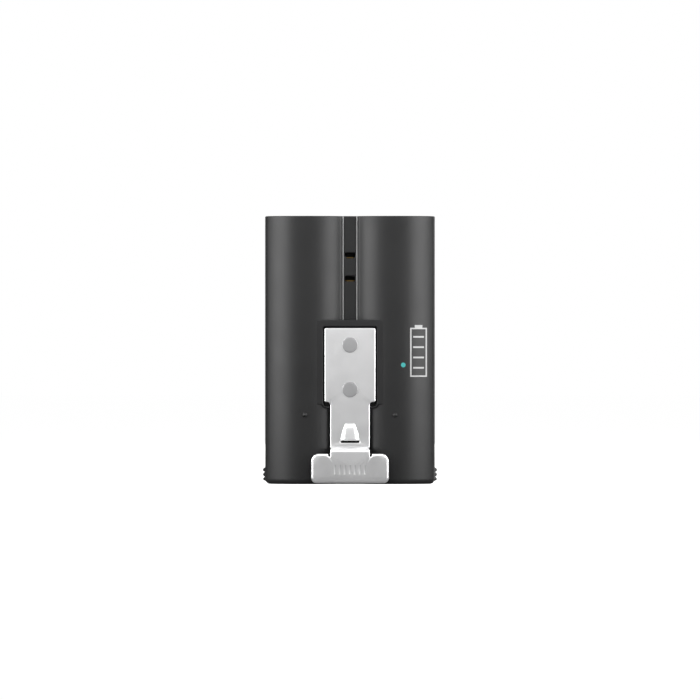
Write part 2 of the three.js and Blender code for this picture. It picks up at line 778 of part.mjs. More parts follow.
// The charging socket's cross-section: square corners at the board and chamfered ones away from it.
function usbOutline(inset) {
  const half = USB.halfWidth - inset;
  const near = USB.near + inset;
  return mirrored([
    new THREE.Vector2(half - USB.chamfer, near),
    new THREE.Vector2(half, near + USB.chamfer * 1.4),
    new THREE.Vector2(half, USB.far - inset),
  ]);
}

function buildPort() {
  const shell = prismUp(usbOutline(0), USB.bottom, USB.top);
  const hollow = prismUp(usbOutline(USB.wall), -BEYOND, USB.top + BEYOND);
  addPiece("usb_shell", shell.subtract(hollow), MATERIALS.portSteel);
  const core = prismUp(usbOutline(USB.wall + FIT), USB_CORE.bottom, USB.top - USB_CORE.below);
  const { halfWidth, near, far, bottom, top } = USB_TONGUE;
  addPiece("usb_insert", join(core, midBox(halfWidth, near, far, bottom, top)), MATERIALS.chipBlack);
}

function buildBoard() {
  const { halfWidth, near, far, bottom, top, corner, holeX } = BOARD;
  const holes = BOARD.holes.flatMap((z) =>
    [-1, 1].map((side) => postBack(side * holeX, z, POST.hole, near - BEYOND, far + BEYOND, SMALLEST_ROUND)),
  );
  const outline = roundedRect(halfWidth, bottom, top, corner);
  addPiece("main_board", cut(prismBack(outline, near, far), ...holes), MATERIALS.boardGreen);
}

// Surface-mounted components on the board's inner face: [name, x, z, width, length, height, material].
const COMPONENTS = [
  ["charger_chip", 0, 14.5, 4, 4, 0.9, MATERIALS.chipBlack],
  ["fuel_gauge_chip", 0, 21.5, 3, 3, 0.8, MATERIALS.chipBlack],
  ["inductor", 0, 36, 4, 4, 1.8, MATERIALS.ferrite],
  ["fuse", 0, 41.5, 1.6, 3.2, 0.7, MATERIALS.ceramic],
  ["protection_mosfet", 0, 46, 3.2, 3, 0.9, MATERIALS.chipBlack],
  ["input_capacitor", 3.6, 9.6, 1.25, 2, 1, MATERIALS.ceramic],
  ["output_capacitor", -3.6, 36, 1.25, 2, 1, MATERIALS.ceramic],
  ["sense_resistor", 3.6, 46, 1.6, 3.2, 0.6, MATERIALS.chipBlack],
];

function buildComponents() {
  for (const [name, x, z, width, length, height, material] of COMPONENTS) {
    const near = BOARD.near - FIT;
    addPiece(
      name,
      box([x - width / 2, near - height, z - length / 2], [x + width / 2, near, z + length / 2]),
      material,
    );
  }
}

function buildLights() {
  const near = BOARD.near - FIT;
  const bottom = LIGHT.top + LED.gap;
  [
    ["red", -1],
    ["green", 1],
  ].forEach(([colour, side]) => {
    const x = side * LIGHT.x;
    addPiece(
      "led_" + colour,
      box([x - LED.halfWidth, near - LED.depth, bottom], [x + LED.halfWidth, near, bottom + LED.height]),
      MATERIALS.ledLens,
    );
    addPiece(
      "light_pipe_" + colour,
      postUp(x, LIGHT.y, LIGHT.radius, BEZEL.recess, LIGHT.top),
      MATERIALS.clearPlastic,
    );
  });
}

function buildThermistor() {
  const { radius, stretch, y, z } = BEAD;
  const drop = new THREE.SphereGeometry(radius, SMALLEST_ROUND, SMALLEST_ROUND / 2).scale(1, 1, stretch);
  addPiece("thermistor", solid(drop.translate(0, y, z)), MATERIALS.epoxy);
  [-1, 1].forEach((side) => {
    const route = [
      [side * LEAD.spread, y + radius + 2 * FIT, z],
      [side * 1.5 * LEAD.spread, y + 3 * radius, z - 0.2 * LEAD.fall],
      [side * 0.85 * LEAD.padSpread, BOARD.near - 1.5, z - 0.8 * LEAD.fall],
      [side * LEAD.padSpread, BOARD.near - SOLDER_GAP, z - LEAD.fall],
    ];
    addPiece("thermistor_lead_" + (side < 0 ? "left" : "right"), wire(route, LEAD.radius), MATERIALS.nickel);
  });
}

buildCase();
buildPortBezel();
buildLabel();
buildLatchPlate();
buildLatchArm();
buildRivetsAndBacking();
buildContacts();
buildCells();
buildBusStrips();
buildSpacer();
buildFoamPads();
buildPort();
buildBoard();
buildComponents();
buildLights();
buildThermistor();

export default pack;
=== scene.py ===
"""The looks of a video doorbell's battery pack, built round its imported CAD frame.

Shapes are worked out in millimetres, with depths measured as in the CAD source, and placed in the row frame
by place(). -Y is the side with the release latch.
"""

import json
import math

import bmesh
import bpy
import numpy as np
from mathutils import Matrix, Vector
from mathutils.geometry import delaunay_2d_cdt


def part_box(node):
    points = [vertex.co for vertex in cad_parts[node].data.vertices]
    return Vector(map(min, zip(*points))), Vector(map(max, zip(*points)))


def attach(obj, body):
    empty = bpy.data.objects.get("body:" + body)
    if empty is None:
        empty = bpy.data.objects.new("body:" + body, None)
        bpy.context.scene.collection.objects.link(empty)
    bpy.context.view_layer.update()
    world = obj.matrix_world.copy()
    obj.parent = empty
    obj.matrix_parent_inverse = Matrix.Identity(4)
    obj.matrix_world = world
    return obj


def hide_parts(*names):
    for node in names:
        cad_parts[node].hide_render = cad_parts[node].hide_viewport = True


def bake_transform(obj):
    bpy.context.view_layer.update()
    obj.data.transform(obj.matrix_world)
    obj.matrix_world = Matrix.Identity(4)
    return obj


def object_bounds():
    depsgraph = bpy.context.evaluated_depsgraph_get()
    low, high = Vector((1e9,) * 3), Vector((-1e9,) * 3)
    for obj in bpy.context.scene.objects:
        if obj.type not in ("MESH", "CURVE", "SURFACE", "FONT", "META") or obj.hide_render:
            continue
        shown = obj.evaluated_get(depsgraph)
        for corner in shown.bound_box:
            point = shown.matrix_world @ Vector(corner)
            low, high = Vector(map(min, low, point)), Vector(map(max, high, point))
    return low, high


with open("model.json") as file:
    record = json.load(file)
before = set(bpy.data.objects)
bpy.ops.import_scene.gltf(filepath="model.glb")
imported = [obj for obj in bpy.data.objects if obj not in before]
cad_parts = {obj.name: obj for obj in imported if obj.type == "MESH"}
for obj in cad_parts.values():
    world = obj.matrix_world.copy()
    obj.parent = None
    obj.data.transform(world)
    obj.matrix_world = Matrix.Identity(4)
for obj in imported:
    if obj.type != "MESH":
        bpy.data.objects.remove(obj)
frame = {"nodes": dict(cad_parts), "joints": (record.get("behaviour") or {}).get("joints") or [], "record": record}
CAD_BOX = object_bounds()
MM = 0.001

# ---------- driving sizes, in mm ----------

HALF_WIDTH = 22.2
HEIGHT = 70.0
REAR = 10.6
WALL = 1.2
END_WALL = 1.3
LOBE_X = 11.8
LOBE_R = 13.4
CREST = -10.35
SIDE_R = 3.0
REAR_R = 6.0
FLOOR, FLOOR_BLEND = -6.35, 0.25
SEAM_Y, SEAM_GAP, SEAM_BEVEL, SEAM_BEVEL_DEEP = 1.0, 0.002, 0.12, 0.072
LOW_FILLET, TOP_FILLET = 1.3, 0.3
FRONT_SHARE = 0.45  # how much of the end fillets' inset is left on faces that look forwards
LOBE_FACING = -0.72  # depth of the normal at the lobes' outer ends

RAIL_X, RAIL_HALF, RAIL_HIGH, RAIL_BURIED = 1.77, 0.18, 0.3, 0.5
SLOT_HALF, SLOT_RISE, SLOT_R, SLOT_Z = 1.435, 0.78, 0.12, (59.7, 53.63)
DECK_FACE, DECK_HALF, DECK_LOW, DECK_TOP, DECK_R = -9.97, 8.6, 20.8, 42.8, 0.3
APRON_HALF, APRON_LOW, APRON_LOW_R, APRON_TOP_R = 7.43, 19.85, 1.6, 0.1  # the deck's narrower lower end
POCKET_FLOOR, POCKET_HALF, POCKET_LOW, POCKET_TOP = -9.3, 7.08, 20.2, 41.2
POCKET_LOW_R, POCKET_TOP_R = 1.3, 0.6
MOAT_FLOOR, MOAT_WIDE, MOAT_LOW_R, MOAT_TOP_R = -8.75, 0.36, 1.0, 0.3  # the gap round the latch's plate
RELIEF_FLOOR, RELIEF_HALF, RELIEF_LOW, RELIEF_TOP = -8.2, 6.68, 20.25, 21.6  # under the plate's shoulders
CHANNEL_FLOOR, CHANNEL_HALF, CHANNEL_LOW, CHANNEL_TOP, CHANNEL_R = -8.0, 5.36, 7.8, 20.5, 0.3
CORE_DEPTH, CORE_HALF, CORE_LOW, CORE_TOP = -8.3, 6.8, 22.1, 41.5  # the hollow behind the latch's deck
PIP_Z, PIP_R, PIP_HIGH = 18.05, 0.6, 0.5
GRIP_Z, GRIP_R, GRIP_HIGH = (1.2, 2.43, 3.66), 0.55, 0.6
GRIP_FROM, GRIP_TO, GRIP_END = -3.6, 5.2, 0.5
GRIP_FACING = 0.8  # the grips stand on faces that look sideways at least this much
PORT_HALF, PORT_NEAR, PORT_FAR, PORT_R, PORT_GAP = 7.1, 4.85, 9.3, 1.3, 0.1
SOCKET_HALF, SOCKET_NEAR, SOCKET_FAR, SOCKET_GAP = 3.75, 5.6, 8.2, 0.15
SOCKET_CUT, SOCKET_CUT_DEEP = 0.85, 1.19
LIGHT_X, LIGHT_Y, LIGHT_R, LIGHT_GAP, LIGHT_ROUND, LIGHT_DISH = 5, 7.5, 0.7, 0.05, 0.08, 0.02
LABEL_HALF, LABEL_LOW, LABEL_TOP, LABEL_SUNK, LABEL_R = 15.0, 14.0, 58.0, 0.25, 0.3
LABEL_FRAME, LABEL_LINE, LABEL_MARK_Z, LABEL_MARK, LABEL_MARK_LINE = (13.6, 20.8), 0.25, 46, (2, 5), 0.35

SHEET = 0.5
PLATE_FACE, PLATE_HALF, PLATE_TOP, PLATE_R = -9.85, 6.63, 40.72, 0.45
SHOULDER, SHOULDER_R, SHOULDER_IN_R = 21.4, 0.4, 0.8
NECK_HALF, NECK_BEND, NECK_BEND_R = 5.145, 9.45, 0.28
TAB_FACE, TAB_HALF, TAB_BOTTOM, TAB_TOP, TAB_BEND, TAB_BEND_R = -13.4, 10.14, 0.25, 8.0, 9.2, 1.3
TAB_LOW_R, TAB_HIGH_R, TAB_ROLL, TAB_DROP = 1.45, 2.05, 0.6, 0.3
CURL_DEEP, CURL_TOP, CURL_TALL = 0.35, 2.8, 2.6  # the slight curl at the tab's foot
BARS, BAR_PITCH, BAR_HALF, BAR_Z, BAR_TALL, BAR_DEEP, BAR_SLOPE = 7, 1.3, 0.22, 3.8, 1.15, 0.05, 0.12
NOTCH_X, NOTCH_HALF, NOTCH_DEEP, NOTCH_R = 5.42, 0.27, 0.86, 0.4
CATCH_LOW, CATCH_HIGH, CATCH_OUT, CATCH_SLOPE, CATCH_END = 11.35, 15.8, 1.0, 0.35, 9
CATCH_FOOT, CATCH_TIP, CATCH_RIDGE, CATCH_TAPER = 2.35, 1.15, 0.75, 1.6
LANCE_HALF, LANCE_HIGH = 2.5, 0.55
RIVET_R, RIVET_HIGH, RIVET_Z = 2.015, 0.28, (36.33, 24.7)
RIVET_DOME = [(0.8, 0.002), (1.4, 0.01)]  # radius, and how far the head has fallen there
RIVET_ROUND, RIVET_ROUND_FROM = 0.1, 0.03
RIVET_SHANK, RIVET_TAIL, RIVET_TAIL_HIGH, RIVET_TAIL_CUT = 1.1, 1.8, 0.55, 0.1
BACKING_GAP, BACKING = 0.05, 0.6
TOUCH = 0.02  # gap left between pieces that touch
EDGE = [(0.09, 0.035), (0.17, 0.08), (0.21, 0.13), (0.23, 0.2)]  # a stamped edge: outwards, and down

MOULD_R = 0.14  # rounding of moulded edges
DRAFT = 0.07  # width of a moulded step's sloped wall, seen square on
SHARP, SHEET_SHARP = math.radians(38), math.radians(50)

# ---------- mesh spacing: zones are (from, to, step) in mm ----------

BY_X = 12.6  # columns are set by x up to here and by angle beyond
# across: rail, neck, plate and pip; up: grips, pip and shoulders
ACROSS = [(1.5, 2.1, 0.045), (4.8, 5.4, 0.15), (5.72, 6.9, 0.11), (11.0, BY_X, 0.09)]
UP = [(0.4, 4.5, 0.11), (17.2, 18.9, 0.09), (20.0, 21.8, 0.12)]
UP_REAR = UP[:1]  # only the grips
APART = 0.05  # least distance between neighbouring columns
EVEN = 0.03  # least distance between an evenly spaced grid line and an exact one
ARC, FINE_ARC, SMALL_ARC = 10, 7, 15  # degrees between an arc's points
BEND_STEP, CATCH_STEP = 0.09, 0.1
MITRE_LIMIT = 0.6  # keeps a sharp corner's offset short

# ---------- studio, in metres where not said otherwise ----------

LENS, SENSOR = 400, 36  # mm
VIEW_WIDTH, VIEW_DEPTH = 0.18263, CREST + 0.5  # metres across the picture, at a depth in mm
ROOM = 0.12
STRIP_ANGLE, STRIP_AWAY, STRIP_LOW = 60.5, 0.16, 0.004  # the angle in degrees from straight ahead
STRIP_TALL, STRIP_WIDE, STRIP_RADIANCE = 0.22, 0.108, 7.3
FILL_AWAY, FILL_LOW, FILL_TALL, FILL_WIDE, FILL_RADIANCE = 0.15, 0.022, 0.3, 0.14, 0.76
FLOOR_REACH, FLOOR_GLOW, FLOOR_DROP = 4, 0.9, 0.0001

# ---------- looks, with sizes in mm ----------

CASE_BLACK, CASE_ROUGH, CASE_SHINE = (0.008, 0.008, 0.0083), 0.46, 0.335
# the last of these colours is a painted highlight for the groove's rails, not a colour the plastic has
PRINT_GREY, PRINT_TEAL, RAIL_HIGHLIGHT_GREY = (0.34, 0.34, 0.34), (0.035, 0.27, 0.26), (0.2, 0.2, 0.2)
LABEL_GREY = (0.42, 0.42, 0.43)
MARK_AT, MARK_HALF, MARK_LINE = (17.9, 34.4), (2.2, 6.4), 0.36
DOT_AT, DOT_R = (13.9, 31.1), 0.6
STEEL_RELIEF = 0.0012

DEPTH_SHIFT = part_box("rear_shell")[1].y / MM - REAR


def place(points):
    """Millimetres in the CAD source's depths to metres in the row frame."""
    return (np.asarray(points, float).reshape(-1, 3) + (0, DEPTH_SHIFT, 0)) * MM


# ---------- node materials ----------


class Surface:
    """A Principled material with small helpers for its node tree."""

    def __init__(self, name, color, rough, metal=0.0, specular=0.5):
        self.material = bpy.data.materials.new(name)
        self.material.use_nodes = True
        self.tree = self.material.node_tree
        shader = self.tree.nodes["Principled BSDF"]
        names = ("Base Color", "Roughness", "Metallic", "Specular IOR Level")
        self.feed(shader, names, (color, rough, metal, specular))
        self.inputs = shader.inputs
        self.coordinates = self.node("ShaderNodeTexCoord").outputs["Object"]

    def node(self, kind, **settings):
        made = self.tree.nodes.new(kind)
        for key, value in settings.items():
            setattr(made, key, value)
        return made

    def link(self, start, end):
        self.tree.links.new(start, end)

    def feed(self, node, names, values):
        """Sets each of a node's inputs to a number or a colour, or links it to another socket."""
        for name, value in zip(names, values):
            if isinstance(value, (int, float)):
                node.inputs[name].default_value = value
            elif isinstance(value, tuple):
                node.inputs[name].default_value = (*value, 1)
            else:
                self.link(value, node.inputs[name])

    def math(self, operation, *values):
        made = self.node("ShaderNodeMath", operation=operation)
        self.feed(made, range(len(values)), values)
        return made.outputs[0]

    def noise(self, size_mm, detail=3.0, stretch=(1, 1, 1)):
        """Noise with features about size_mm across, drawn out along an axis by stretch."""
        mapping = self.node("ShaderNodeMapping")
        mapping.inputs["Scale"].default_value = [1 / (size_mm * MM * s) for s in stretch]
        self.link(self.coordinates, mapping.inputs["Vector"])
        made = self.node("ShaderNodeTexNoise")
        self.feed(made, ("Vector", "Scale", "Detail"), (mapping.outputs[0], 1.0, detail))
        return made.outputs["Fac"]

    def span(self, value, low, high):
        """A 0 to 1 value mapped to low to high."""
        made = self.node("ShaderNodeMapRange")
        self.feed(made, ("Value", "To Min", "To Max"), (value, low, high))
        return made.outputs[0]

    def mix(self, fac, a, b):
        """A colour between a and b; a Mix node has its colour sockets after those of its other types."""
        made = self.node("ShaderNodeMix", data_type="RGBA")
        self.feed(made, (0, 6, 7), (fac, a, b))
        return made.outputs[2]

    def uneven(self, patches, color, tints, rough, less, more):
        """Patches that differ a little in colour, between two tints, and in gloss."""
        shades = [tuple(min(1, c * tint) for c in color) for tint in tints]
        self.link(self.mix(patches, *shades), self.inputs["Base Color"])
        self.link(self.span(patches, rough - less, rough + more), self.inputs["Roughness"])

    def bump(self, *layers):
        """Layers are (height, depth in mm) pairs, added one on another."""
        normal = None
        for height, depth in layers:
            made = self.node("ShaderNodeBump")
            self.feed(made, ("Height", "Distance", "Strength"), (height, depth * MM, 1.0))
            if normal is not None:
                self.link(normal, made.inputs["Normal"])
            normal = made.outputs[0]
        self.link(normal, self.inputs["Normal"])

    def rectangle(self, x, z, middle, half, hollow=0.0):
        """1 inside a rectangle about (x, z) in mm, or only on its border where hollow is the line's width."""
        reach = [
            self.math("SUBTRACT", self.math("ABSOLUTE", self.math("SUBTRACT", axis, at)), size)
            for axis, at, size in zip((x, z), middle, half)
        ]
        out = self.math("MAXIMUM", *reach)
        inside = self.math("LESS_THAN", out, 0.0)
        return self.math("MULTIPLY", inside, self.math("GREATER_THAN", out, -hollow)) if hollow else inside

    def disc(self, x, z, middle, radius):
        """1 inside a circle about (x, z) in mm."""
        away = [self.math("SUBTRACT", axis, at) for axis, at in zip((x, z), middle)]
        squares = [self.math("MULTIPLY", side, side) for side in away]
        return self.math("LESS_THAN", self.math("ADD", *squares), radius**2)

    def battery_mark(self, x, z, middle, half, line):
        """A plain battery pictogram in thin lines: an outline, its terminal and four bars, as one mask."""
        terminal_share, bar_gap, bar_share = 0.45, 2.2, 0.6
        marks = [
            self.rectangle(x, z, middle, half, line),
            self.rectangle(x, z, (middle[0], middle[1] + half[1] + line), (terminal_share * half[0], line)),
        ]
        bar = (half[0] - bar_gap * line, bar_share * line)
        for level in (-0.63, -0.21, 0.21, 0.63):
            marks.append(self.rectangle(x, z, (middle[0], middle[1] + level * half[1]), bar))
        return self.together(marks)

    def together(self, masks):
        whole = masks[0]
        for mask in masks[1:]:
            whole = self.math("MAXIMUM", whole, mask)
        return whole

    def paint(self, mask, color):
        """Lays a colour over what the base colour already is, where mask is 1."""
        base = self.inputs["Base Color"]
        self.link(self.mix(mask, base.links[0].from_socket, color), base)

    def axes(self):
        """The object's coordinates in millimetres, as three sockets."""
        split = self.node("ShaderNodeSeparateXYZ")
        self.link(self.coordinates, split.inputs[0])
        return [self.math("MULTIPLY", out, 1 / MM) for out in split.outputs]


def plastic(name, color, rough, grain=0.09, depth=0.004, specular=0.5):
    """Moulded plastic: a fine spark texture, a little uneven in colour and gloss."""
    surface = Surface(name, color, rough, specular=specular)
    surface.uneven(surface.noise(6.0), color, tints=(0.88, 1.12), rough=rough, less=0.05, more=0.05)
    surface.bump((surface.noise(grain, detail=2.0), depth))
    return surface


def steel(name, color, rough):
    """Rolled sheet steel: faint lengthwise grain, tumbled speckle and a few stains."""
    surface = Surface(name, color, rough, metal=1.0)
    stains = surface.noise(4.0, detail=4.0)
    surface.uneven(stains, color, tints=(0.95, 1.04), rough=rough, less=0.04, more=0.05)
    grain = surface.noise(0.07, detail=2.0, stretch=(1, 1, 30))
    speckle = surface.noise(0.25)
    surface.bump((grain, STEEL_RELIEF), (speckle, STEEL_RELIEF))
    return surface


# ---------- mesh building ----------


def add_object(name, data):
    made = bpy.data.objects.new(name, data)
    bpy.context.scene.collection.objects.link(made)
    return made


def new_piece(name, points, faces, slot, replaced=(), body="pack", sharp=SHARP):
    mesh = bpy.data.meshes.new(name)
    mesh.from_pydata(place(points).tolist(), [], faces)
    return finish_piece(name, mesh, SLOT_LOOKS[slot], replaced, body, sharp, True)


def finish_piece(name, mesh, surface, replaced, body="pack", sharp=SHARP, flat=False):
    """Smooths a mesh except over sharp edges, keeps flat faces flat if asked, and puts it on its body."""
    mesh.validate()
    mesh.polygons.foreach_set("use_smooth", [True] * len(mesh.polygons))
    mesh.set_sharp_from_angle(angle=sharp)
    mesh.materials.append(surface.material)
    piece = add_object(name, mesh)
    if flat:
        normals = piece.modifiers.new("flat_faces", "WEIGHTED_NORMAL")
        normals.keep_sharp = True
        normals.weight = 100
    if body:
        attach(piece, body)
    for node in replaced:
        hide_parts(node)
    return piece


def grid_lines(low, high, step, zones=(), exact=()):
    """Coordinates from low to high: step apart, closer in zones, and at the exact ones."""
    loose = list(np.arange(low, high, step))
    for start, end, fine in zones:
        outside = [v for v in loose if v < start or v > end]
        loose = outside + list(np.arange(start, end + fine / 2, fine))
    fixed = sorted({low, high, *exact})
    kept = [v for v in loose if min(abs(v - f) for f in fixed) > EVEN and low < v < high]
    return np.array(sorted(kept + fixed))


def edge_lines(*edges):
    """Grid lines along rounded edges and their drafts; an edge is a place and its rounded side's sign."""
    shares = (1, 0.75, 0.5, 0.25, 0.08, 0)
    offsets = [*(share * MOULD_R for share in shares), -DRAFT]
    return [at + outward * offset for at, outward in edges for offset in offsets]


def moat_lines(at):
    """Grid lines for the narrow gap left round the latch's plate, inside the pocket's edge."""
    return [at - 2 * DRAFT, at - MOAT_WIDE, at - MOAT_WIDE + DRAFT]


def rounded_rect(x, z, half, low, high, r_low=0.0, r_high=0.0):
    """Signed distance to a rectangle centred on x = 0, negative inside."""
    middle = (low + high) / 2
    radius = np.where(z < middle, r_low, r_high)
    across = np.abs(x) - half + radius
    along = np.abs(z - middle) - (high - low) / 2 + radius
    outside = np.hypot(np.maximum(across, 0), np.maximum(along, 0))
    return outside + np.minimum(np.maximum(across, along), 0) - radius


def edge_drop(distance, height):
    """How far a rounded edge falls away at a distance from it."""
    size = np.minimum(MOULD_R, np.maximum(height, 0))
    share = np.clip(1 - distance / MOULD_R, 0, 1)
    return size * (1 - np.sqrt(np.clip(1 - share**2, 0, 1)))


def sink(y, distance, floor):
    """Cuts a recess down to floor where distance is negative."""
    height = floor - y
    rounded = y + edge_drop(np.maximum(distance, 0), height)
    inside = rounded + (floor - rounded) * np.clip(-distance / DRAFT, 0, 1)
    return np.where(height > 0, np.where(distance < 0, inside, rounded), y)


def boss(y, distance, face):
    """Raises a flat boss to face where distance is negative."""
    height = y - face
    top = face + edge_drop(np.maximum(-distance, 0), height)
    wall = top + (y - top) * np.clip(distance / DRAFT, 0, 1)
    return np.where(height > 0, np.where(distance < 0, top, np.minimum(wall, y)), y)


def smooth_lower(a, b, size):
    """The lower of two values with a fillet of about size where they cross."""
    h = np.clip(0.5 + 0.5 * (b - a) / size, 0, 1)
    return b + (a - b) * h - size * h * (1 - h)


def grid_faces(columns, rows, flip):
    """Quads of a grid whose points run row by row up each column."""
    starts = [c * rows + r for c in range(columns - 1) for r in range(rows - 1)]
    quads = [(a, a + rows, a + rows + 1, a + 1) for a in starts]
    return [quad[::-1] for quad in quads] if flip else quads


def fill_loops(mesh, edges):
    """Fills a flat region bounded by one or more closed loops of edges."""
    bmesh.ops.triangle_fill(mesh, use_beauty=True, use_dissolve=False, edges=edges)


def arc_points(cx, cy, radius, start, end, step):
    """Points of an arc with their outward normals; angles in degrees."""
    count = max(2, math.ceil(abs(end - start) / step))
    for angle in np.radians(np.linspace(start, end, count + 1)):
        normal = (math.cos(angle), math.sin(angle))
        yield (cx + radius * normal[0], cy + radius * normal[1], *normal)


def rounded_loop(half, low, high, radius, step=ARC):
    """A rounded rectangle centred on x = 0, counter-clockwise, as (x, z) points."""
    side, bottom, top = half - radius, low + radius, high - radius
    corners = ((side, bottom, -90), (side, top, 0), (-side, top, 90), (-side, bottom, 180))
    arcs = [arc_points(x, z, radius, start, start + 90, step) for x, z, start in corners]
    return [(x, z) for arc in arcs for x, z, *_ in arc]


# ---------- case shells ----------


def lobe_depth(x, inset=0.0):
    """Depth of the lobes and the groove's floor across the case."""
    reach = np.clip(np.abs(x) - LOBE_X, -LOBE_R, LOBE_R)
    radius = LOBE_R - inset
    lobe = CREST + LOBE_R - np.sqrt(np.clip(radius**2 - reach**2, 0, None))
    return smooth_lower(lobe, np.full_like(lobe, FLOOR + inset), FLOOR_BLEND)


def front_depth(x, z):
    """The front shell's outer surface, feature by feature."""
    y = lobe_depth(x)
    across = np.clip((np.abs(x) - RAIL_X) / RAIL_HALF, -1, 1)
    rail = RAIL_HIGH * np.sqrt(1 - across**2)
    y = y - np.where(z > DECK_TOP - RAIL_BURIED, rail, 0)
    deck = np.minimum(
        rounded_rect(x, z, DECK_HALF, DECK_LOW, DECK_TOP, DECK_R, DECK_R),
        rounded_rect(x, z, APRON_HALF, APRON_LOW, DECK_TOP, APRON_LOW_R, APRON_TOP_R),
    )
    y = boss(y, deck, DECK_FACE)
    pocket = rounded_rect(x, z, POCKET_HALF, POCKET_LOW, POCKET_TOP, POCKET_LOW_R, POCKET_TOP_R)
    y = sink(y, pocket, POCKET_FLOOR)
    moat_half, moat_top = POCKET_HALF - MOAT_WIDE, POCKET_TOP - MOAT_WIDE
    within_moat = rounded_rect(x, z, moat_half, POCKET_LOW, moat_top, MOAT_LOW_R, MOAT_TOP_R)
    y = sink(y, np.maximum(pocket + DRAFT, -within_moat), MOAT_FLOOR)
    y = sink(y, rounded_rect(x, z, RELIEF_HALF, RELIEF_LOW, RELIEF_TOP), RELIEF_FLOOR)
    y = sink(y, rounded_rect(x, z, CHANNEL_HALF, CHANNEL_LOW, CHANNEL_TOP, CHANNEL_R), CHANNEL_FLOOR)
    for slot_z in SLOT_Z:
        slot = rounded_rect(x, z, SLOT_HALF, slot_z - SLOT_RISE, slot_z + SLOT_RISE, SLOT_R, SLOT_R)
        y = sink(y, slot, FLOOR + WALL)
    from_pip = (np.abs(x) - LOBE_X) ** 2 + (z - PIP_Z) ** 2
    pip = CREST + PIP_R - PIP_HIGH - np.sqrt(np.clip(PIP_R**2 - from_pip, 0, None))
    return np.where(from_pip < PIP_R**2, np.minimum(y, pip), y)


def grip_height(y, z):
    """How far the side grips stand out, with rounded ends."""
    ends = np.clip(np.minimum(y - GRIP_FROM, GRIP_TO - y) / GRIP_END, 0, 1)
    bars = np.zeros_like(z)
    for bar in GRIP_Z:
        over = np.sqrt(np.clip(GRIP_R**2 - (z - bar) ** 2, 0, None))
        bars = np.maximum(bars, np.where(over > 0, over + GRIP_HIGH - GRIP_R, 0))
    return bars * np.sqrt(np.clip(1 - (1 - ends) ** 2, 0, 1))


def front_columns(inset, x_lines, seam_lines, step):
    """The front's section from the middle to the right seam: rows of x, y and outward normal."""
    radius = LOBE_R - inset
    lobe_y = CREST + LOBE_R
    side_x = HALF_WIDTH - SIDE_R
    side_y = lobe_y - math.sqrt((LOBE_R - SIDE_R) ** 2 - (side_x - LOBE_X) ** 2)
    join = math.degrees(math.atan2(side_y - lobe_y, side_x - LOBE_X))
    floor_margin, side_step = 0.1, 4
    columns = []
    for x in x_lines:
        y = float(lobe_depth(np.array([x]), inset)[0])
        lean = max(-1.0, min(1.0, (x - LOBE_X) / radius))
        in_floor = y > FLOOR + inset - floor_margin and x < LOBE_X
        normal = (0.0, -1.0) if in_floor else (lean, -math.sqrt(1 - lean**2))
        columns.append((x, y, *normal))
    start = -math.degrees(math.acos((x_lines[-1] - LOBE_X) / radius))
    columns += list(arc_points(LOBE_X, lobe_y, radius, start, join, step))[1:]
    columns += list(arc_points(side_x, side_y, SIDE_R - inset, join, 0, side_step))[1:]
    columns += [(HALF_WIDTH - inset, y, 1.0, 0.0) for y in seam_lines if y > side_y + APART]
    return np.array(columns)


def rear_columns(inset, x_lines, seam_lines, step):
    """The rear's section from the middle to the right seam."""
    corner_x, corner_y = HALF_WIDTH - REAR_R, REAR - REAR_R
    columns = [(x, REAR - inset, 0.0, 1.0) for x in x_lines if x < corner_x - APART]
    columns += list(arc_points(corner_x, corner_y, REAR_R - inset, 90, 0, step))
    columns += [(HALF_WIDTH - inset, y, 1.0, 0.0) for y in seam_lines if y < corner_y - APART]
    return np.array(columns)


def both_sides(right):
    """Mirrors the columns that start at x = 0, to run from the left seam to the right one."""
    left = right[1:][::-1] * (-1, 1, -1, 1)
    return np.vstack([left, right])


def end_rows(rows):
    """Rows with a quarter-round at both ends, as heights and insets."""
    turns = np.radians(np.arange(0, 91, 15))
    insets, lifts = 1 - np.sin(turns), 1 - np.cos(turns)
    clear = 0.02
    middle = [z for z in rows if LOW_FILLET + clear < z < HEIGHT - TOP_FILLET - clear]
    heights = [*(LOW_FILLET * lifts), *middle, *(HEIGHT - TOP_FILLET * lifts[::-1])]
    inset = [*(LOW_FILLET * insets), *([0.0] * len(middle)), *(TOP_FILLET * insets[::-1])]
    return np.array(heights), np.array(inset)


def skin(columns, heights, insets, depth=None, grips=False):
    """Points of a section carried up through the rows, with the depth and grip features added."""
    x, y, nx, ny = (np.repeat(columns[:, i], len(heights)) for i in range(4))
    z = np.tile(heights, len(columns))
    inset = np.tile(insets, len(columns)) * (FRONT_SHARE + (1 - FRONT_SHARE) * np.abs(nx))
    if depth is not None:
        y = depth(x, y, z, ny)
    if grips:
        inset = inset - np.where(np.abs(nx) > GRIP_FACING, grip_height(y, z), 0)
    return np.column_stack([x - nx * inset, y - ny * inset, z])


def front_skin(x, y, z, ny):
    """The front's features on the lobes; the case's rounded sides keep their own depth."""
    return np.where(ny < LOBE_FACING, front_depth(x, z), y)


def front_inside(x, y, z, ny):
    """The front shell's inside, with the hollow behind the latch's deck."""
    core = rounded_rect(x, z, CORE_HALF, CORE_LOW, CORE_TOP)
    return np.where(core <= 1e-9, np.minimum(y, CORE_DEPTH), y)


def rear_skin(x, y, z, ny):
    """The rear face with the label's recess; depths are mirrored so that sink() can cut from behind."""
    label = rounded_rect(x, z, LABEL_HALF, LABEL_LOW, LABEL_TOP, LABEL_R, LABEL_R)
    return np.where(ny > 0.999, -sink(-y, label, LABEL_SUNK - REAR), y)


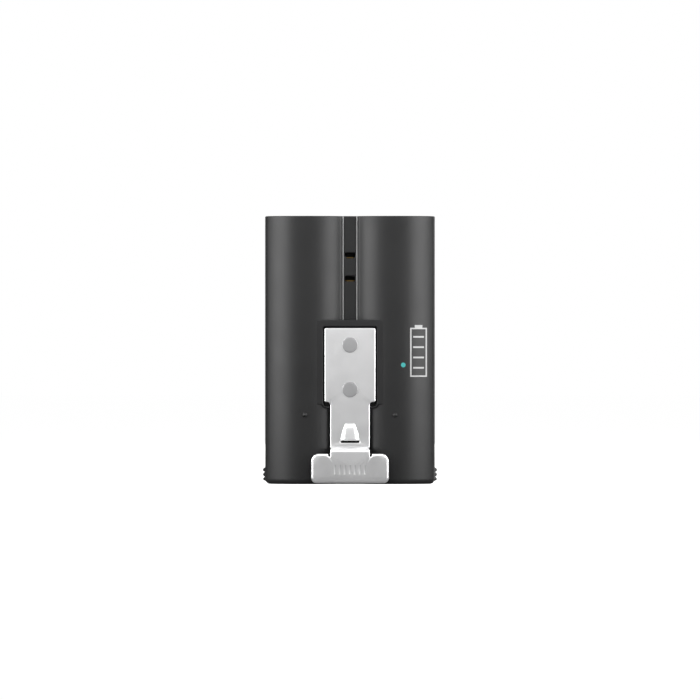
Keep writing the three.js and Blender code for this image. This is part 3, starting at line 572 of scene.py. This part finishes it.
def shell_mesh(name, seam, outer, inner, opening):
    """Closes an outer and an inner skin, (points, rows) each, into a shell with "slots" or a "port"."""
    mesh = bmesh.new()
    for (points, rows), flip in ((outer, False), (inner, True)):
        vertices = [mesh.verts.new(p) for p in place(points)]
        for face in grid_faces(len(points) // rows, rows, flip):
            mesh.faces.new([vertices[i] for i in face])
        for row in (0, rows - 1):
            ring = vertices[row::rows]
            edges = [mesh.edges.get(pair) for pair in zip(ring, ring[1:])]
            edges.append(mesh.edges.new((ring[0], ring[-1])))
            if opening == "port" and row == 0:
                edges += port_loop(mesh, ring[0].co.z)
            fill_loops(mesh, edges)
    if opening == "port":
        join_port(mesh)
    else:
        open_slots(mesh)
    seam_y = (seam + DEPTH_SHIFT) * MM
    rim = [e for e in mesh.edges if e.is_boundary and all(abs(v.co.y - seam_y) < 1e-6 for v in e.verts)]
    fill_loops(mesh, rim)
    bmesh.ops.recalc_face_normals(mesh, faces=mesh.faces)
    made = bpy.data.meshes.new(name)
    mesh.to_mesh(made)
    mesh.free()
    return made


def round_slot(vertices, z, margin):
    """Whether all the vertices are within margin of the contact slot at height z; the margin is in mm."""
    half, rise = (SLOT_HALF + margin) * MM, (SLOT_RISE + margin) * MM
    return all(abs(v.co.x) < half and abs(v.co.z - z * MM) < rise for v in vertices)


def open_slots(mesh):
    """Opens both contact slots through the groove's floor and fills the ledge round each opening."""
    inside = (FLOOR + WALL + DEPTH_SHIFT) * MM
    inner_margin, ledge_margin = 0.2, 0.3
    for z in SLOT_Z:
        for margin in (-DRAFT / 2, inner_margin):
            doomed = [
                f
                for f in mesh.faces
                if round_slot(f.verts, z, margin) and all(abs(v.co.y - inside) < 2e-6 for v in f.verts)
            ]
            bmesh.ops.delete(mesh, geom=doomed, context="FACES")
        fill_loops(mesh, [e for e in mesh.edges if e.is_boundary and round_slot(e.verts, z, ledge_margin)])


def port_loop(mesh, z):
    """A loop of edges for the charging port's opening, at a height in metres."""
    loop = rounded_loop(PORT_HALF, PORT_NEAR, PORT_FAR, PORT_R)
    points = place([(x, y, 0) for x, y in loop])
    ring = [mesh.verts.new((p[0], p[1], z)) for p in points]
    return [mesh.edges.new(pair) for pair in zip(ring, ring[1:] + ring[:1])]


def join_port(mesh):
    """Walls between the port's opening in the outer and the inner end face."""
    half, deep = (PORT_HALF + APART) * MM, 2 * MM
    low, high = ((v + DEPTH_SHIFT) * MM for v in (PORT_NEAR - APART, PORT_FAR + APART))
    inside = {v for v in mesh.verts if abs(v.co.x) < half and low < v.co.y < high and v.co.z < deep}
    edges = [e for e in mesh.edges if e.is_boundary and inside.issuperset(e.verts)]
    bmesh.ops.bridge_loops(mesh, edges=edges)


def build_shell(which, surface, seam, outer, inner, opening):
    """A half of the case from its outer and inner skins, each as columns, rows and a function for depth."""
    columns, rows, depth = outer
    heights, insets = end_rows(rows)
    outside = skin(both_sides(columns), heights, insets, depth, True)
    for edge, sign in ((slice(len(heights)), 1), (slice(-len(heights), None), -1)):
        outside[edge, 0] += sign * SEAM_BEVEL_DEEP
    columns, rows, depth = inner
    inside = skin(both_sides(columns), rows, np.zeros(len(rows)), depth)
    name = which + "_case"
    mesh = shell_mesh(name, seam, (outside, len(heights)), (inside, len(rows)), opening)
    finish_piece(name, mesh, surface, [which + "_shell"])


def build_front_shell():
    seam = SEAM_Y - SEAM_GAP
    across = edge_lines((SLOT_HALF, 1), (CHANNEL_HALF, 1), (POCKET_HALF, 1))
    across += edge_lines((APRON_HALF, -1), (DECK_HALF, -1)) + moat_lines(POCKET_HALF)
    up = edge_lines((CHANNEL_LOW, -1), (RELIEF_LOW, -1), (APRON_LOW, 1), (POCKET_TOP, 1), (DECK_TOP, -1))
    up += edge_lines(*((z + side * SLOT_RISE, side) for z in SLOT_Z for side in (-1, 1)))
    x_lines = grid_lines(0, BY_X, step=0.45, zones=ACROSS, exact=across)
    rows = grid_lines(0, HEIGHT, step=0.9, zones=UP, exact=up + moat_lines(POCKET_TOP))
    seam_lines = [*np.arange(-3.4, seam - SEAM_BEVEL, 0.35), seam - SEAM_BEVEL, seam]
    outer = front_columns(0, x_lines, seam_lines, 2), rows, front_skin
    inner_x = grid_lines(0, BY_X, step=0.9, exact=[SLOT_HALF + 0.1, CORE_HALF, CORE_HALF + DRAFT])
    inner_rows = [CORE_LOW, CORE_LOW - DRAFT, CORE_TOP, CORE_TOP + DRAFT]
    inner_rows += [z + side * (SLOT_RISE + 0.1) for z in SLOT_Z for side in (-1, 1)]
    inner_rows = grid_lines(END_WALL, HEIGHT - END_WALL, step=1.5, exact=inner_rows)
    inner = front_columns(WALL, inner_x, [*np.arange(-2, seam, 1), seam], 6), inner_rows, front_inside
    build_shell("front", front_surface(), seam, outer, inner, "slots")


def build_rear_shell():
    seam = SEAM_Y + SEAM_GAP
    x_lines = grid_lines(0, HALF_WIDTH, step=1.1, exact=edge_lines((LABEL_HALF, 1)))
    rows = grid_lines(0, HEIGHT, step=1.2, zones=UP_REAR, exact=edge_lines((LABEL_LOW, -1), (LABEL_TOP, 1)))
    seam_lines = [*np.arange(REAR - REAR_R - 0.3, seam + SEAM_BEVEL, -0.35), seam + SEAM_BEVEL, seam]
    outer = rear_columns(0, x_lines, seam_lines, 4), rows, rear_skin
    inner_x = grid_lines(0, HALF_WIDTH, step=3)
    inner_rows = grid_lines(END_WALL, HEIGHT - END_WALL, step=6)
    inner = rear_columns(WALL, inner_x, [*np.arange(4, seam, -1), seam], 10), inner_rows, None
    build_shell("rear", SLOT_LOOKS["case_plastic"], seam, outer, inner, "port")


# ---------- sheet metal ----------


def mitres(forward, back):
    """Steps to the right of the corners between two runs of edges, one unit away from both edges."""
    sides = []
    for run in (forward, back):
        unit = run / np.linalg.norm(run, axis=1)[:, None]
        sides.append(np.column_stack([unit[:, 1], -unit[:, 0]]))
    both = sides[0] + sides[1]
    return both * (2 / np.clip((both**2).sum(1), MITRE_LIMIT, None))[:, None]


def offset_loop(loop, distance):
    """Moves a closed loop to its right by distance: outwards where it runs counter-clockwise."""
    points = np.asarray(loop, float)
    forward = np.roll(points, -1, 0) - points
    return points + mitres(forward, np.roll(forward, 1, 0)) * distance


def inside_loop(points, loop):
    """Whether each point is inside a closed loop, by the even-odd rule."""
    x, y = points[:, 0], points[:, 1]
    inside = np.zeros(len(points), bool)
    for (x0, y0), (x1, y1) in zip(loop, np.roll(loop, -1, 0)):
        if y0 != y1:
            crossing = ((y0 > y) != (y1 > y)) & (x < (x1 - x0) * (y - y0) / (y1 - y0) + x0)
            inside ^= crossing
    return inside


def quarter_round(radius):
    """An edge profile for sheet_mesh."""
    turns = np.radians([30, 60, 90])
    return [(radius * math.sin(a), radius * (1 - math.cos(a))) for a in turns]


def triangulate(loops, lines, extra):
    """Points, and triangles inside the first loop and outside the others, counter-clockwise."""
    points, edges = [], []
    for loop in loops:
        base = len(points)
        points += [Vector(p) for p in loop]
        edges += [(base + i, base + (i + 1) % len(loop)) for i in range(len(loop))]
    for start, end in lines:
        edges.append((len(points), len(points) + 1))
        points += [Vector(start), Vector(end)]
    points += [Vector(p) for p in extra]
    flat, _, triangles, *_ = delaunay_2d_cdt(points, edges, [], 0, 1e-5)
    flat = np.array([tuple(p) for p in flat])
    triangles = np.array(triangles)
    centres = flat[triangles].mean(1)
    keep = inside_loop(centres, loops[0])
    for hole in loops[1:]:
        keep &= ~inside_loop(centres, hole)
    triangles = triangles[keep]
    first, second = (flat[triangles[:, i]] - flat[triangles[:, 0]] for i in (1, 2))
    clockwise = first[:, 0] * second[:, 1] < first[:, 1] * second[:, 0]
    triangles[clockwise] = triangles[clockwise][:, ::-1]
    return flat, triangles


def sheet_mesh(loops, thickness, profile, shape, extra=(), lines=()):
    """A sheet with shaped edges, as points and faces; profile is how an edge goes outwards and down.

    loops are true outlines as (u, v) points: the outer one counter-clockwise, then the holes clockwise.
    shape(u, v, t) gives the place of a point t above the sheet's middle. extra points and lines add detail.
    """
    flat, triangles = triangulate([offset_loop(loop, -profile[-1][0]) for loop in loops], lines, extra)
    directed = {(int(t[i]), int(t[(i + 1) % 3])) for t in triangles for i in range(3)}
    rim = {a: b for a, b in directed if (b, a) not in directed}
    before = {b: a for a, b in rim.items()}
    used = sorted({int(i) for i in triangles.ravel()})
    order = {v: i for i, v in enumerate(used)}
    rim_order = {v: i for i, v in enumerate(rim)}
    half, count = thickness / 2, len(used)
    places = [shape(flat[used, 0], flat[used, 1], np.full(count, t)) for t in (half, -half)]
    here = flat[list(rim)]
    outward = mitres(flat[list(rim.values())] - here, here - flat[[before[v] for v in rim]])
    levels = [(out, half - drop) for out, drop in profile]
    levels += [(out, -t) for out, t in levels[::-1]]
    for out, t in levels:
        ring = here + outward * out
        places.append(shape(ring[:, 0], ring[:, 1], np.full(len(rim), t)))
    faces = [tuple(order[int(v)] for v in t) for t in triangles]
    faces += [tuple(count + order[int(v)] for v in t[::-1]) for t in triangles]
    starts = [2 * count + i * len(rim) for i in range(len(levels))]
    for pair in rim.items():
        a, b = ([order[v], *(start + rim_order[v] for start in starts), count + order[v]] for v in pair)
        faces += [(b[i], a[i], a[i + 1], b[i + 1]) for i in range(len(levels) + 1)]
    return np.vstack(places), faces


class BentPath:
    """A polyline in depth and height with rounded corners, followed by its length from the start."""

    ARC_POINTS = 17
    LOOK = 0.02  # how far before and after a point its direction is taken

    def __init__(self, corners, radii):
        points = [np.array(c, float) for c in corners]
        line = [points[0]]
        for before, corner, after, radius in zip(points, points[1:], points[2:], radii):
            a, b = ((point - corner) / np.linalg.norm(point - corner) for point in (before, after))
            turn = math.pi - math.acos(float(np.clip(a @ b, -1, 1)))
            centre = corner + (a + b) / np.linalg.norm(a + b) * radius / math.cos(turn / 2)
            arms = [corner + arm * radius * math.tan(turn / 2) - centre for arm in (a, b)]
            for share in np.linspace(0, 1, self.ARC_POINTS):
                mixed = arms[0] * math.sin((1 - share) * turn) + arms[1] * math.sin(share * turn)
                line.append(centre + mixed / math.sin(turn))
        line.append(points[-1])
        self.points = np.array(line)
        steps = np.linalg.norm(np.diff(self.points, axis=0), axis=1)
        self.lengths = np.concatenate([[0], np.cumsum(steps)])

    def spot(self, s):
        """Depth and height at a length along the path."""
        return [np.interp(s, self.lengths, self.points[:, i]) for i in (0, 1)]

    def at(self, s):
        """Depth, height and the front-facing normal at a length along the path."""
        dy, dz = (ahead - behind for ahead, behind in zip(self.spot(s + self.LOOK), self.spot(s - self.LOOK)))
        size = np.hypot(dy, dz)
        return *self.spot(s), dz / size, -dy / size


def smooth_step(value):
    t = np.clip(value, 0, 1)
    return t * t * (3 - 2 * t)


def catch_height(x, z):
    """The hood lanced out of the neck: a flat ridge between rounded flanks, open below and closed above."""
    rise = np.clip((z - CATCH_LOW) / (CATCH_HIGH - CATCH_LOW), 0, 1)
    foot = CATCH_TIP + (CATCH_FOOT - CATCH_TIP) * (1 - rise**CATCH_TAPER)
    flank = np.sqrt(1 - np.clip((np.abs(x) - CATCH_RIDGE) / (foot - CATCH_RIDGE), 0, 1) ** 2)
    ridge = 1 - CATCH_SLOPE * rise - (1 - CATCH_SLOPE) * rise**CATCH_END
    return np.where(z > CATCH_LOW - LANCE_HIGH / 2, CATCH_OUT * ridge * flank, 0)


def tab_height(x, z):
    """The push tab's rolled edge, its slight curl at the foot and its coined grip bars."""
    inward = -rounded_rect(x, z, TAB_HALF, TAB_BOTTOM, TAB_TOP, TAB_LOW_R, TAB_HIGH_R)
    roll = TAB_DROP * np.clip(1 - inward / TAB_ROLL, 0, 1) ** 1.3
    notch_side = NOTCH_X + NOTCH_HALF
    joined = (z > TAB_TOP - 2 * TAB_ROLL) & (np.abs(x) < notch_side + TAB_ROLL)
    roll = roll * np.where(joined, smooth_step((np.abs(x) - notch_side) / TAB_ROLL), 1)
    curl = CURL_DEEP * np.clip((CURL_TOP - z) / CURL_TALL, 0, 1) ** 2
    middle = (np.abs(x) + BAR_PITCH / 2) % BAR_PITCH - BAR_PITCH / 2
    across = np.clip((BAR_HALF + BAR_SLOPE - np.abs(middle)) / BAR_SLOPE, 0, 1)
    along = np.clip((BAR_TALL + BAR_SLOPE - np.abs(z - BAR_Z)) / BAR_SLOPE, 0, 1)
    bars = BAR_DEEP * np.minimum(across, along) * (np.abs(x) < BARS / 2 * BAR_PITCH)
    return -roll - curl - bars


class LatchSheet:
    """The latch's stamping: laid flat as (x, v) points, with v = 0 at the plate's top, and then bent."""

    BEND_REACH = 0.9  # how far from a bend's corner the sheet is divided finely
    TAB_ABOVE = 0.3  # how far above the tab its own shape ends

    def __init__(self):
        middle = SHEET / 2
        corners = [
            (PLATE_FACE + middle, PLATE_TOP),
            (PLATE_FACE + middle, NECK_BEND),
            (TAB_FACE + middle, TAB_BEND),
            (TAB_FACE + middle, TAB_BOTTOM),
        ]
        self.path = BentPath(corners, (NECK_BEND_R, TAB_BEND_R))
        self.foot = self.path.lengths[-1]
        self.bend_start = PLATE_TOP - (NECK_BEND + self.BEND_REACH)
        self.bend_end = self.down_tab(TAB_BEND - self.BEND_REACH)

    def down_tab(self, z):
        """Length from the plate's top edge down to a height on the push tab."""
        return self.foot - (z - TAB_BOTTOM)

    def on_plate(self, points):
        """Points by x and height on the plate or the neck, laid flat."""
        return [(x, z - PLATE_TOP) for x, z, *_ in points]

    def on_tab(self, points):
        """Points by x and height on the push tab, laid flat."""
        return [(x, -self.down_tab(z)) for x, z, *_ in points]

    def shape(self, x, v, t):
        """Where a point of the flat sheet goes, t above its middle."""
        s = -v
        tab_start = self.down_tab(TAB_TOP)
        y, z, ny, nz = self.path.at(s)
        flat_z = np.where(s > tab_start - 5 * self.TAB_ABOVE, TAB_BOTTOM + self.foot - s, PLATE_TOP - s)
        out = t + np.where(s > tab_start - self.TAB_ABOVE, tab_height(x, flat_z), 0)
        out = out + np.where(s < self.bend_start, catch_height(x, flat_z), 0)
        return np.column_stack([x, y + ny * out, z + nz * out])

    def outline(self):
        """The outer outline, counter-clockwise."""
        tab, plate = self.on_tab, self.on_plate
        arcs = [
            (tab, TAB_HALF - TAB_LOW_R, TAB_BOTTOM + TAB_LOW_R, TAB_LOW_R, -90, 0, FINE_ARC),
            (tab, TAB_HALF - TAB_HIGH_R, TAB_TOP - TAB_HIGH_R, TAB_HIGH_R, 0, 90, FINE_ARC),
            (tab, NOTCH_X + NOTCH_HALF + NOTCH_R, TAB_TOP - NOTCH_R, NOTCH_R, 90, 180, SMALL_ARC),
            (tab, NOTCH_X, TAB_TOP - NOTCH_DEEP + NOTCH_HALF, NOTCH_HALF, 0, -180, 22),
            (plate, NECK_HALF + SHOULDER_IN_R, SHOULDER - SHOULDER_IN_R, SHOULDER_IN_R, 180, 90, ARC),
            (plate, PLATE_HALF - SHOULDER_R, SHOULDER + SHOULDER_R, SHOULDER_R, -90, 0, SMALL_ARC),
            (plate, PLATE_HALF - PLATE_R, PLATE_TOP - PLATE_R, PLATE_R, 0, 90, ARC),
        ]
        right = [point for lay, *arc in arcs for point in lay(arc_points(*arc))]
        return right + [(-x, v) for x, v in right[::-1]]

    def holes(self):
        """The slit under the catch and the two rivets' holes, clockwise."""
        radius = LANCE_HIGH / 2
        ends = ((LANCE_HALF - radius, 90), (radius - LANCE_HALF, -90))
        middle = CATCH_LOW - radius
        slit = [p for x, turn in ends for p in arc_points(x, middle, radius, turn, turn - 180, 20)]
        rivets = [list(arc_points(0, z, RIVET_SHANK + 0.1, 360, 0, SMALL_ARC))[:-1] for z in RIVET_Z]
        return [self.on_plate(hole) for hole in (slit, *rivets)]

    def lines(self):
        """Lines across the bends, and the outlines of the coined bars at their foot and their top."""
        across = 20
        lines = [((-across, -s), (across, -s)) for s in np.arange(self.bend_start, self.bend_end, BEND_STEP)]
        for bar in range(BARS):
            middle = (bar - (BARS - 1) / 2) * BAR_PITCH
            for grow in (0, BAR_SLOPE):
                x0, x1 = middle - BAR_HALF - grow, middle + BAR_HALF + grow
                z0, z1 = BAR_Z - BAR_TALL - grow, BAR_Z + BAR_TALL + grow
                corners = self.on_tab([(x0, z0), (x1, z0), (x1, z1), (x0, z1)])
                lines += zip(corners, corners[1:] + corners[:1])
        return lines

    def points(self):
        """Points that give the catch, the tab's rolled edge and its curl enough triangles."""
        catch_z = np.arange(CATCH_LOW + 0.35, CATCH_HIGH + 2 * CATCH_STEP, CATCH_STEP)
        catch = [(x, z) for x in np.arange(-LANCE_HALF, LANCE_HALF + 0.01, CATCH_STEP) for z in catch_z]
        tab = []
        for inset in (0.36, 0.42, 0.5, 0.6):
            low, high, side_x = TAB_BOTTOM + inset, TAB_TOP - inset, TAB_HALF - inset
            tab += rounded_loop(side_x, low, high, TAB_LOW_R - inset, FINE_ARC)
            tab += [(x, low) for x in np.arange(-8, 8.1, 0.5)]
            tab += [(side * x, high) for x in np.arange(6.2, 8.1, 0.3) for side in (-1, 1)]
            tab += [(side * side_x, z) for z in np.arange(2, 6, 0.5) for side in (-1, 1)]
        tab += [(x, z) for x in np.arange(-8.5, 8.6, 0.5) for z in np.arange(1.1, 2.3, 0.3)]
        return np.array(self.on_plate(catch) + self.on_tab(tab))


def build_latch():
    sheet = LatchSheet()
    loops = [sheet.outline(), *sheet.holes()]
    margin = -EDGE[-1][0] - 0.04
    extra = sheet.points()
    extra = extra[inside_loop(extra, offset_loop(loops[0], margin))]
    for hole in loops[1:]:
        extra = extra[~inside_loop(extra, offset_loop(hole, margin))]
    points, faces = sheet_mesh(loops, SHEET, EDGE, sheet.shape, extra, sheet.lines())
    latch = new_piece("latch_spring", points, faces, "latch_steel", body=None, sharp=SHEET_SHARP)
    pivot = Vector(frame["joints"][0]["pos_m"])
    reach = 1.2 * MM
    start, end = (0, pivot.y, pivot.z + reach), (0, pivot.y, pivot.z - reach)
    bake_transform(latch)
    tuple(start)
    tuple(end)
    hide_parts("latch_plate", "latch_arm")


def turned(profile, spot, segments):
    """A turned solid, as points and faces; profile is (radius, length) points from axis to axis.

    spot(a, b, length) gives the place of a point that is a and b off the axis.
    """
    ring = profile[1:-1]
    rows = len(ring)
    points, faces = [], []
    for i in range(segments):
        angle = 2 * math.pi * i / segments
        points += [spot(r * math.cos(angle), r * math.sin(angle), length) for r, length in ring]
    first, last = len(points), len(points) + 1
    points += [spot(0, 0, profile[0][1]), spot(0, 0, profile[-1][1])]
    for i in range(segments):
        a, b = i * rows, (i + 1) % segments * rows
        faces += [(a + j, a + j + 1, b + j + 1, b + j) for j in range(rows - 1)]
        faces += [(first, a, b), (b + rows - 1, a + rows - 1, last)]
    return points, faces


def build_rivets():
    seat = PLATE_FACE - TOUCH
    head = seat - RIVET_HIGH
    back = CORE_DEPTH + BACKING_GAP + BACKING + TOUCH
    tail = back + RIVET_TAIL_HIGH
    round_over = [
        (RIVET_R - RIVET_ROUND * (1 - math.sin(a)), head + RIVET_ROUND_FROM + RIVET_ROUND * (1 - math.cos(a)))
        for a in np.radians([0, 22, 45, 67, 90])
    ]
    profile = [
        (0, head),
        *((r, head + fallen) for r, fallen in RIVET_DOME),
        *round_over,
        (RIVET_R, seat),
        (RIVET_SHANK, seat),
        (RIVET_SHANK, back),
        (RIVET_TAIL, back),
        (RIVET_TAIL, tail - RIVET_TAIL_CUT),
        (RIVET_TAIL - RIVET_TAIL_CUT, tail),
        (0, tail),
    ]
    for which, z in zip(("upper", "lower"), RIVET_Z):
        points, faces = turned(profile, lambda a, b, y: (a, y, z + b), 72)
        new_piece("rivet_" + which, points, faces, "rivet_steel", ["latch_rivet_" + which])


# ---------- other visible pieces ----------


def build_label():
    corner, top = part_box("rear_label")
    near, far = corner.y / MM - DEPTH_SHIFT, top.y / MM - DEPTH_SHIFT
    points, faces = sheet_mesh(
        [rounded_loop(top.x / MM, corner.z / MM, top.z / MM, 1.0, 8)],
        far - near,
        quarter_round(0.04),
        lambda x, z, t: np.column_stack([-x, (near + far) / 2 + t, z]),
    )
    new_piece("rating_label", points, faces, "label_vinyl", ["rear_label"])


def label_surface():
    """A blank printed label: a thin frame and a plain battery pictogram."""
    surface = plastic("label_film", (0.02, 0.02, 0.022), 0.42, grain=0.2, depth=0.001)
    x, _, z = surface.axes()
    middle = (LABEL_LOW + LABEL_TOP) / 2
    border = surface.rectangle(x, z, (0, middle), LABEL_FRAME, LABEL_LINE)
    mark = surface.battery_mark(x, z, (0, LABEL_MARK_Z), LABEL_MARK, LABEL_MARK_LINE)
    surface.paint(surface.together([border, mark]), LABEL_GREY)
    return surface


def front_surface():
    """The case's plastic with a printed battery pictogram, and a painted highlight on the groove's rails."""
    surface = plastic("case_front_black", CASE_BLACK, CASE_ROUGH, specular=CASE_SHINE)
    x, y, z = surface.axes()
    facing = surface.math("LESS_THAN", y, 0.0)
    mark = surface.battery_mark(x, z, MARK_AT, MARK_HALF, MARK_LINE)
    surface.paint(surface.math("MULTIPLY", mark, facing), PRINT_GREY)
    dot = surface.disc(x, z, DOT_AT, DOT_R)
    surface.paint(surface.math("MULTIPLY", dot, facing), PRINT_TEAL)
    # painted highlight: the rails above the deck are painted pale grey to stand in for light falling on them
    rail_at = (RAIL_X + RAIL_HALF / 3, FLOOR - RAIL_HIGH / 2 + DEPTH_SHIFT)
    rail = surface.rectangle(surface.math("ABSOLUTE", x), y, rail_at, (RAIL_HALF, RAIL_HIGH))
    above = surface.math("GREATER_THAN", z, DECK_TOP)
    surface.paint(surface.math("MULTIPLY", rail, above), RAIL_HIGHLIGHT_GREY)
    return surface


def clear_surface():
    surface = Surface("clear_lens", (0.75, 0.78, 0.8), 0.12)
    surface.bump((surface.noise(0.4), 0.002))
    return surface


def socket_loop(grow):
    """The charging socket's outline with its two cut corners, counter-clockwise, larger by grow."""
    half, near, far = SOCKET_HALF + grow, SOCKET_NEAR - grow, SOCKET_FAR + grow
    right = [(half - SOCKET_CUT, near), (half, near + SOCKET_CUT_DEEP), (half, far)]
    return right + [(-x, y) for x, y in right[::-1]]


def build_bezel():
    low, high = (v.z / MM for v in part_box("port_bezel"))
    near, far = PORT_NEAR + PORT_GAP, PORT_FAR - PORT_GAP
    outline = rounded_loop(PORT_HALF - PORT_GAP, near, far, PORT_R - PORT_GAP, 8)
    holes = [socket_loop(SOCKET_GAP)[::-1]]
    for x in (-LIGHT_X, LIGHT_X):
        window = arc_points(x, LIGHT_Y, LIGHT_R + LIGHT_GAP, 360, 0, SMALL_ARC)
        holes.append([(px, py) for px, py, *_ in window][:-1])
    points, faces = sheet_mesh(
        [outline, *holes],
        high - low,
        quarter_round(0.1),
        lambda x, y, t: np.column_stack([-x, y, (low + high) / 2 - t]),
    )
    new_piece("socket_bezel", points, faces, "case_plastic", ["port_bezel"])


def build_light_window(name, x):
    low, high = (v.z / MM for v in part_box("light_pipe_" + name))
    rod = [
        (0, low + LIGHT_DISH),
        (LIGHT_R - LIGHT_ROUND, low),
        (LIGHT_R, low + LIGHT_ROUND),
        (LIGHT_R, high),
        (0, high),
    ]
    points, faces = turned(rod, lambda a, b, z: (x + a, LIGHT_Y - b, z), 48)
    new_piece("light_window_" + name, points, faces, "clear_plastic", ["light_pipe_" + name])


# ---------- materials for every slot ----------

SLOT_LOOKS = {
    # contact plating darkened far below gold's own colour: painted shade that keeps the deep slots black
    "contact_gold": steel("contact_plating_painted_dark", (0.17, 0.115, 0.045), 0.35),
    "carrier_plastic": plastic("carrier_black", (0.012, 0.012, 0.012), 0.6),
    "cell_sleeve": plastic("cell_film", (0.05, 0.16, 0.4), 0.3, grain=0.3, depth=0.001),
    "cell_steel": steel("cell_nickel", (0.56, 0.55, 0.53), 0.3),
    "foil_winding": steel("wound_foil", (0.6, 0.36, 0.24), 0.35),
    "gasket": plastic("gasket_white", (0.75, 0.73, 0.68), 0.5),
    "nickel": steel("nickel_strip", (0.6, 0.57, 0.52), 0.32),
    "foam": plastic("foam_black", (0.012, 0.012, 0.013), 0.9, grain=0.4, depth=0.12),
    "spacer_plastic": plastic("spacer_cream", (0.7, 0.67, 0.58), 0.5),
    "board": plastic("board_mask", (0.01, 0.09, 0.035), 0.3, grain=0.3, depth=0.002),
    "chip": plastic("chip_black", (0.012, 0.012, 0.012), 0.45, grain=0.06, depth=0.002),
    "ferrite": plastic("ferrite_grey", (0.03, 0.03, 0.034), 0.6, grain=0.05),
    "component_ceramic": plastic("component_tan", (0.35, 0.22, 0.12), 0.4),
    "port_steel": steel("port_plating", (0.5, 0.5, 0.52), 0.3),
    "clear_plastic": clear_surface(),
    "led_lens": plastic("led_diffuser", (0.8, 0.8, 0.7), 0.3),
    "wire_red": plastic("wire_red_skin", (0.4, 0.015, 0.012), 0.4, grain=0.2, depth=0.002),
    "wire_black": plastic("wire_black_skin", (0.01, 0.01, 0.01), 0.4, grain=0.2, depth=0.002),
    "epoxy": plastic("epoxy_black", (0.012, 0.014, 0.02), 0.25),
    "case_plastic": plastic("case_black", CASE_BLACK, CASE_ROUGH, specular=CASE_SHINE),
    "latch_steel": steel("latch_satin", (0.81, 0.81, 0.815), 0.36),
    "rivet_steel": steel("rivet_satin", (0.37, 0.37, 0.375), 0.5),
    "label_vinyl": label_surface(),
}


def dress_nodes():
    """Gives each CAD node the looks of its slot in the record."""
    for part in frame["record"]["subparts"]:
        node = frame["nodes"][part["node"]]
        node.data.materials.clear()
        node.data.materials.append(SLOT_LOOKS[part["material_slot"]].material)


# ---------- studio ----------


def softbox(name, spot, target, size, radiance):
    """A soft rectangular light that doesn't show itself to the camera."""
    data = bpy.data.lights.new(name, "AREA")
    data.shape = "RECTANGLE"
    data.size, data.size_y = size
    data.energy = radiance * math.pi * size[0] * size[1]
    light = add_object(name, data)
    light.location = spot
    light.rotation_euler = (Vector(target) - Vector(spot)).to_track_quat("-Z", "Y").to_euler()
    light.visible_camera = False


def build_lights():
    """Two tall strips beside the pack, a front fill that ends low down, and soft light behind and above."""
    angle = math.radians(STRIP_ANGLE)
    for side, name in ((-1, "strip_left"), (1, "strip_right")):
        middle = STRIP_LOW + STRIP_TALL / 2
        spot = (side * STRIP_AWAY * math.sin(angle), -STRIP_AWAY * math.cos(angle), middle)
        softbox(name, spot, (0, 0, middle), (STRIP_WIDE, STRIP_TALL), STRIP_RADIANCE)
    spot = (0, -FILL_AWAY, FILL_LOW + FILL_TALL / 2)
    softbox("front_fill", spot, (0, 0, spot[2]), (FILL_WIDE, FILL_TALL), FILL_RADIANCE)
    softbox("rear_fill", spot=(0.2, 0.7, 0.3), target=(0, 0, 0.04), size=(1.2, 0.8), radiance=1.8)
    softbox("top", spot=(0, -0.2, 0.35), target=(0, 0, 0), size=(0.4, 0.35), radiance=1.4)


def build_world():
    """A grey room, seen as white by the camera."""
    scene = bpy.context.scene
    world = bpy.data.worlds.new("studio")
    scene.world = world
    world.use_nodes = True
    nodes, links = world.node_tree.nodes, world.node_tree.links
    room = nodes["Background"]
    room.inputs["Color"].default_value = (ROOM, ROOM, ROOM, 1)
    white = nodes.new("ShaderNodeBackground")
    white.inputs["Color"].default_value = (1, 1, 1, 1)
    rays = nodes.new("ShaderNodeLightPath")
    mix = nodes.new("ShaderNodeMixShader")
    links.new(rays.outputs["Is Camera Ray"], mix.inputs[0])
    links.new(room.outputs[0], mix.inputs[1])
    links.new(white.outputs[0], mix.inputs[2])
    links.new(mix.outputs[0], nodes["World Output"].inputs["Surface"])
    scene.view_settings.view_transform = "Standard"
    scene.view_settings.look = "None"


def build_floor():
    """A pale floor that fades into the white room."""
    reach = FLOOR_REACH
    corners = [(-reach, -reach, 0), (reach, -reach, 0), (reach, reach, 0), (-reach, reach, 0)]
    mesh = bpy.data.meshes.new("floor")
    mesh.from_pydata(corners, [], [(0, 1, 2, 3)])
    surface = Surface("pale_floor", (0.8, 0.8, 0.8), 0.9, specular=0.0)
    surface.inputs["Emission Color"].default_value = (1, 1, 1, 1)
    rays = surface.node("ShaderNodeLightPath").outputs["Is Camera Ray"]
    pale = surface.mix(surface.noise(60.0, detail=2.0), (0.78, 0.78, 0.78), (0.82, 0.82, 0.82))
    surface.link(surface.mix(rays, (0.2, 0.2, 0.2), pale), surface.inputs["Base Color"])
    surface.link(surface.math("MULTIPLY", rays, FLOOR_GLOW), surface.inputs["Emission Strength"])
    mesh.materials.append(surface.material)
    floor = add_object("floor", mesh)
    floor.location.z = -FLOOR_DROP


def build_camera():
    data = bpy.data.cameras.new("camera")
    data.lens = LENS
    data.sensor_width = SENSOR
    data.clip_end = 20
    camera = add_object("camera", data)
    distance = VIEW_WIDTH * LENS / SENSOR
    low, high = CAD_BOX
    camera.location = (0, (VIEW_DEPTH + DEPTH_SHIFT) * MM - distance, (low.z + high.z) / 2)
    camera.rotation_euler = (math.radians(90), 0, 0)
    bpy.context.scene.camera = camera


build_camera()
dress_nodes()
build_front_shell()
build_rear_shell()
build_latch()
build_rivets()
build_label()
build_bezel()
for side, tint in ((-1, "red"), (1, "green")):
    build_light_window(tint, side * LIGHT_X)
build_lights()
build_world()
build_floor()
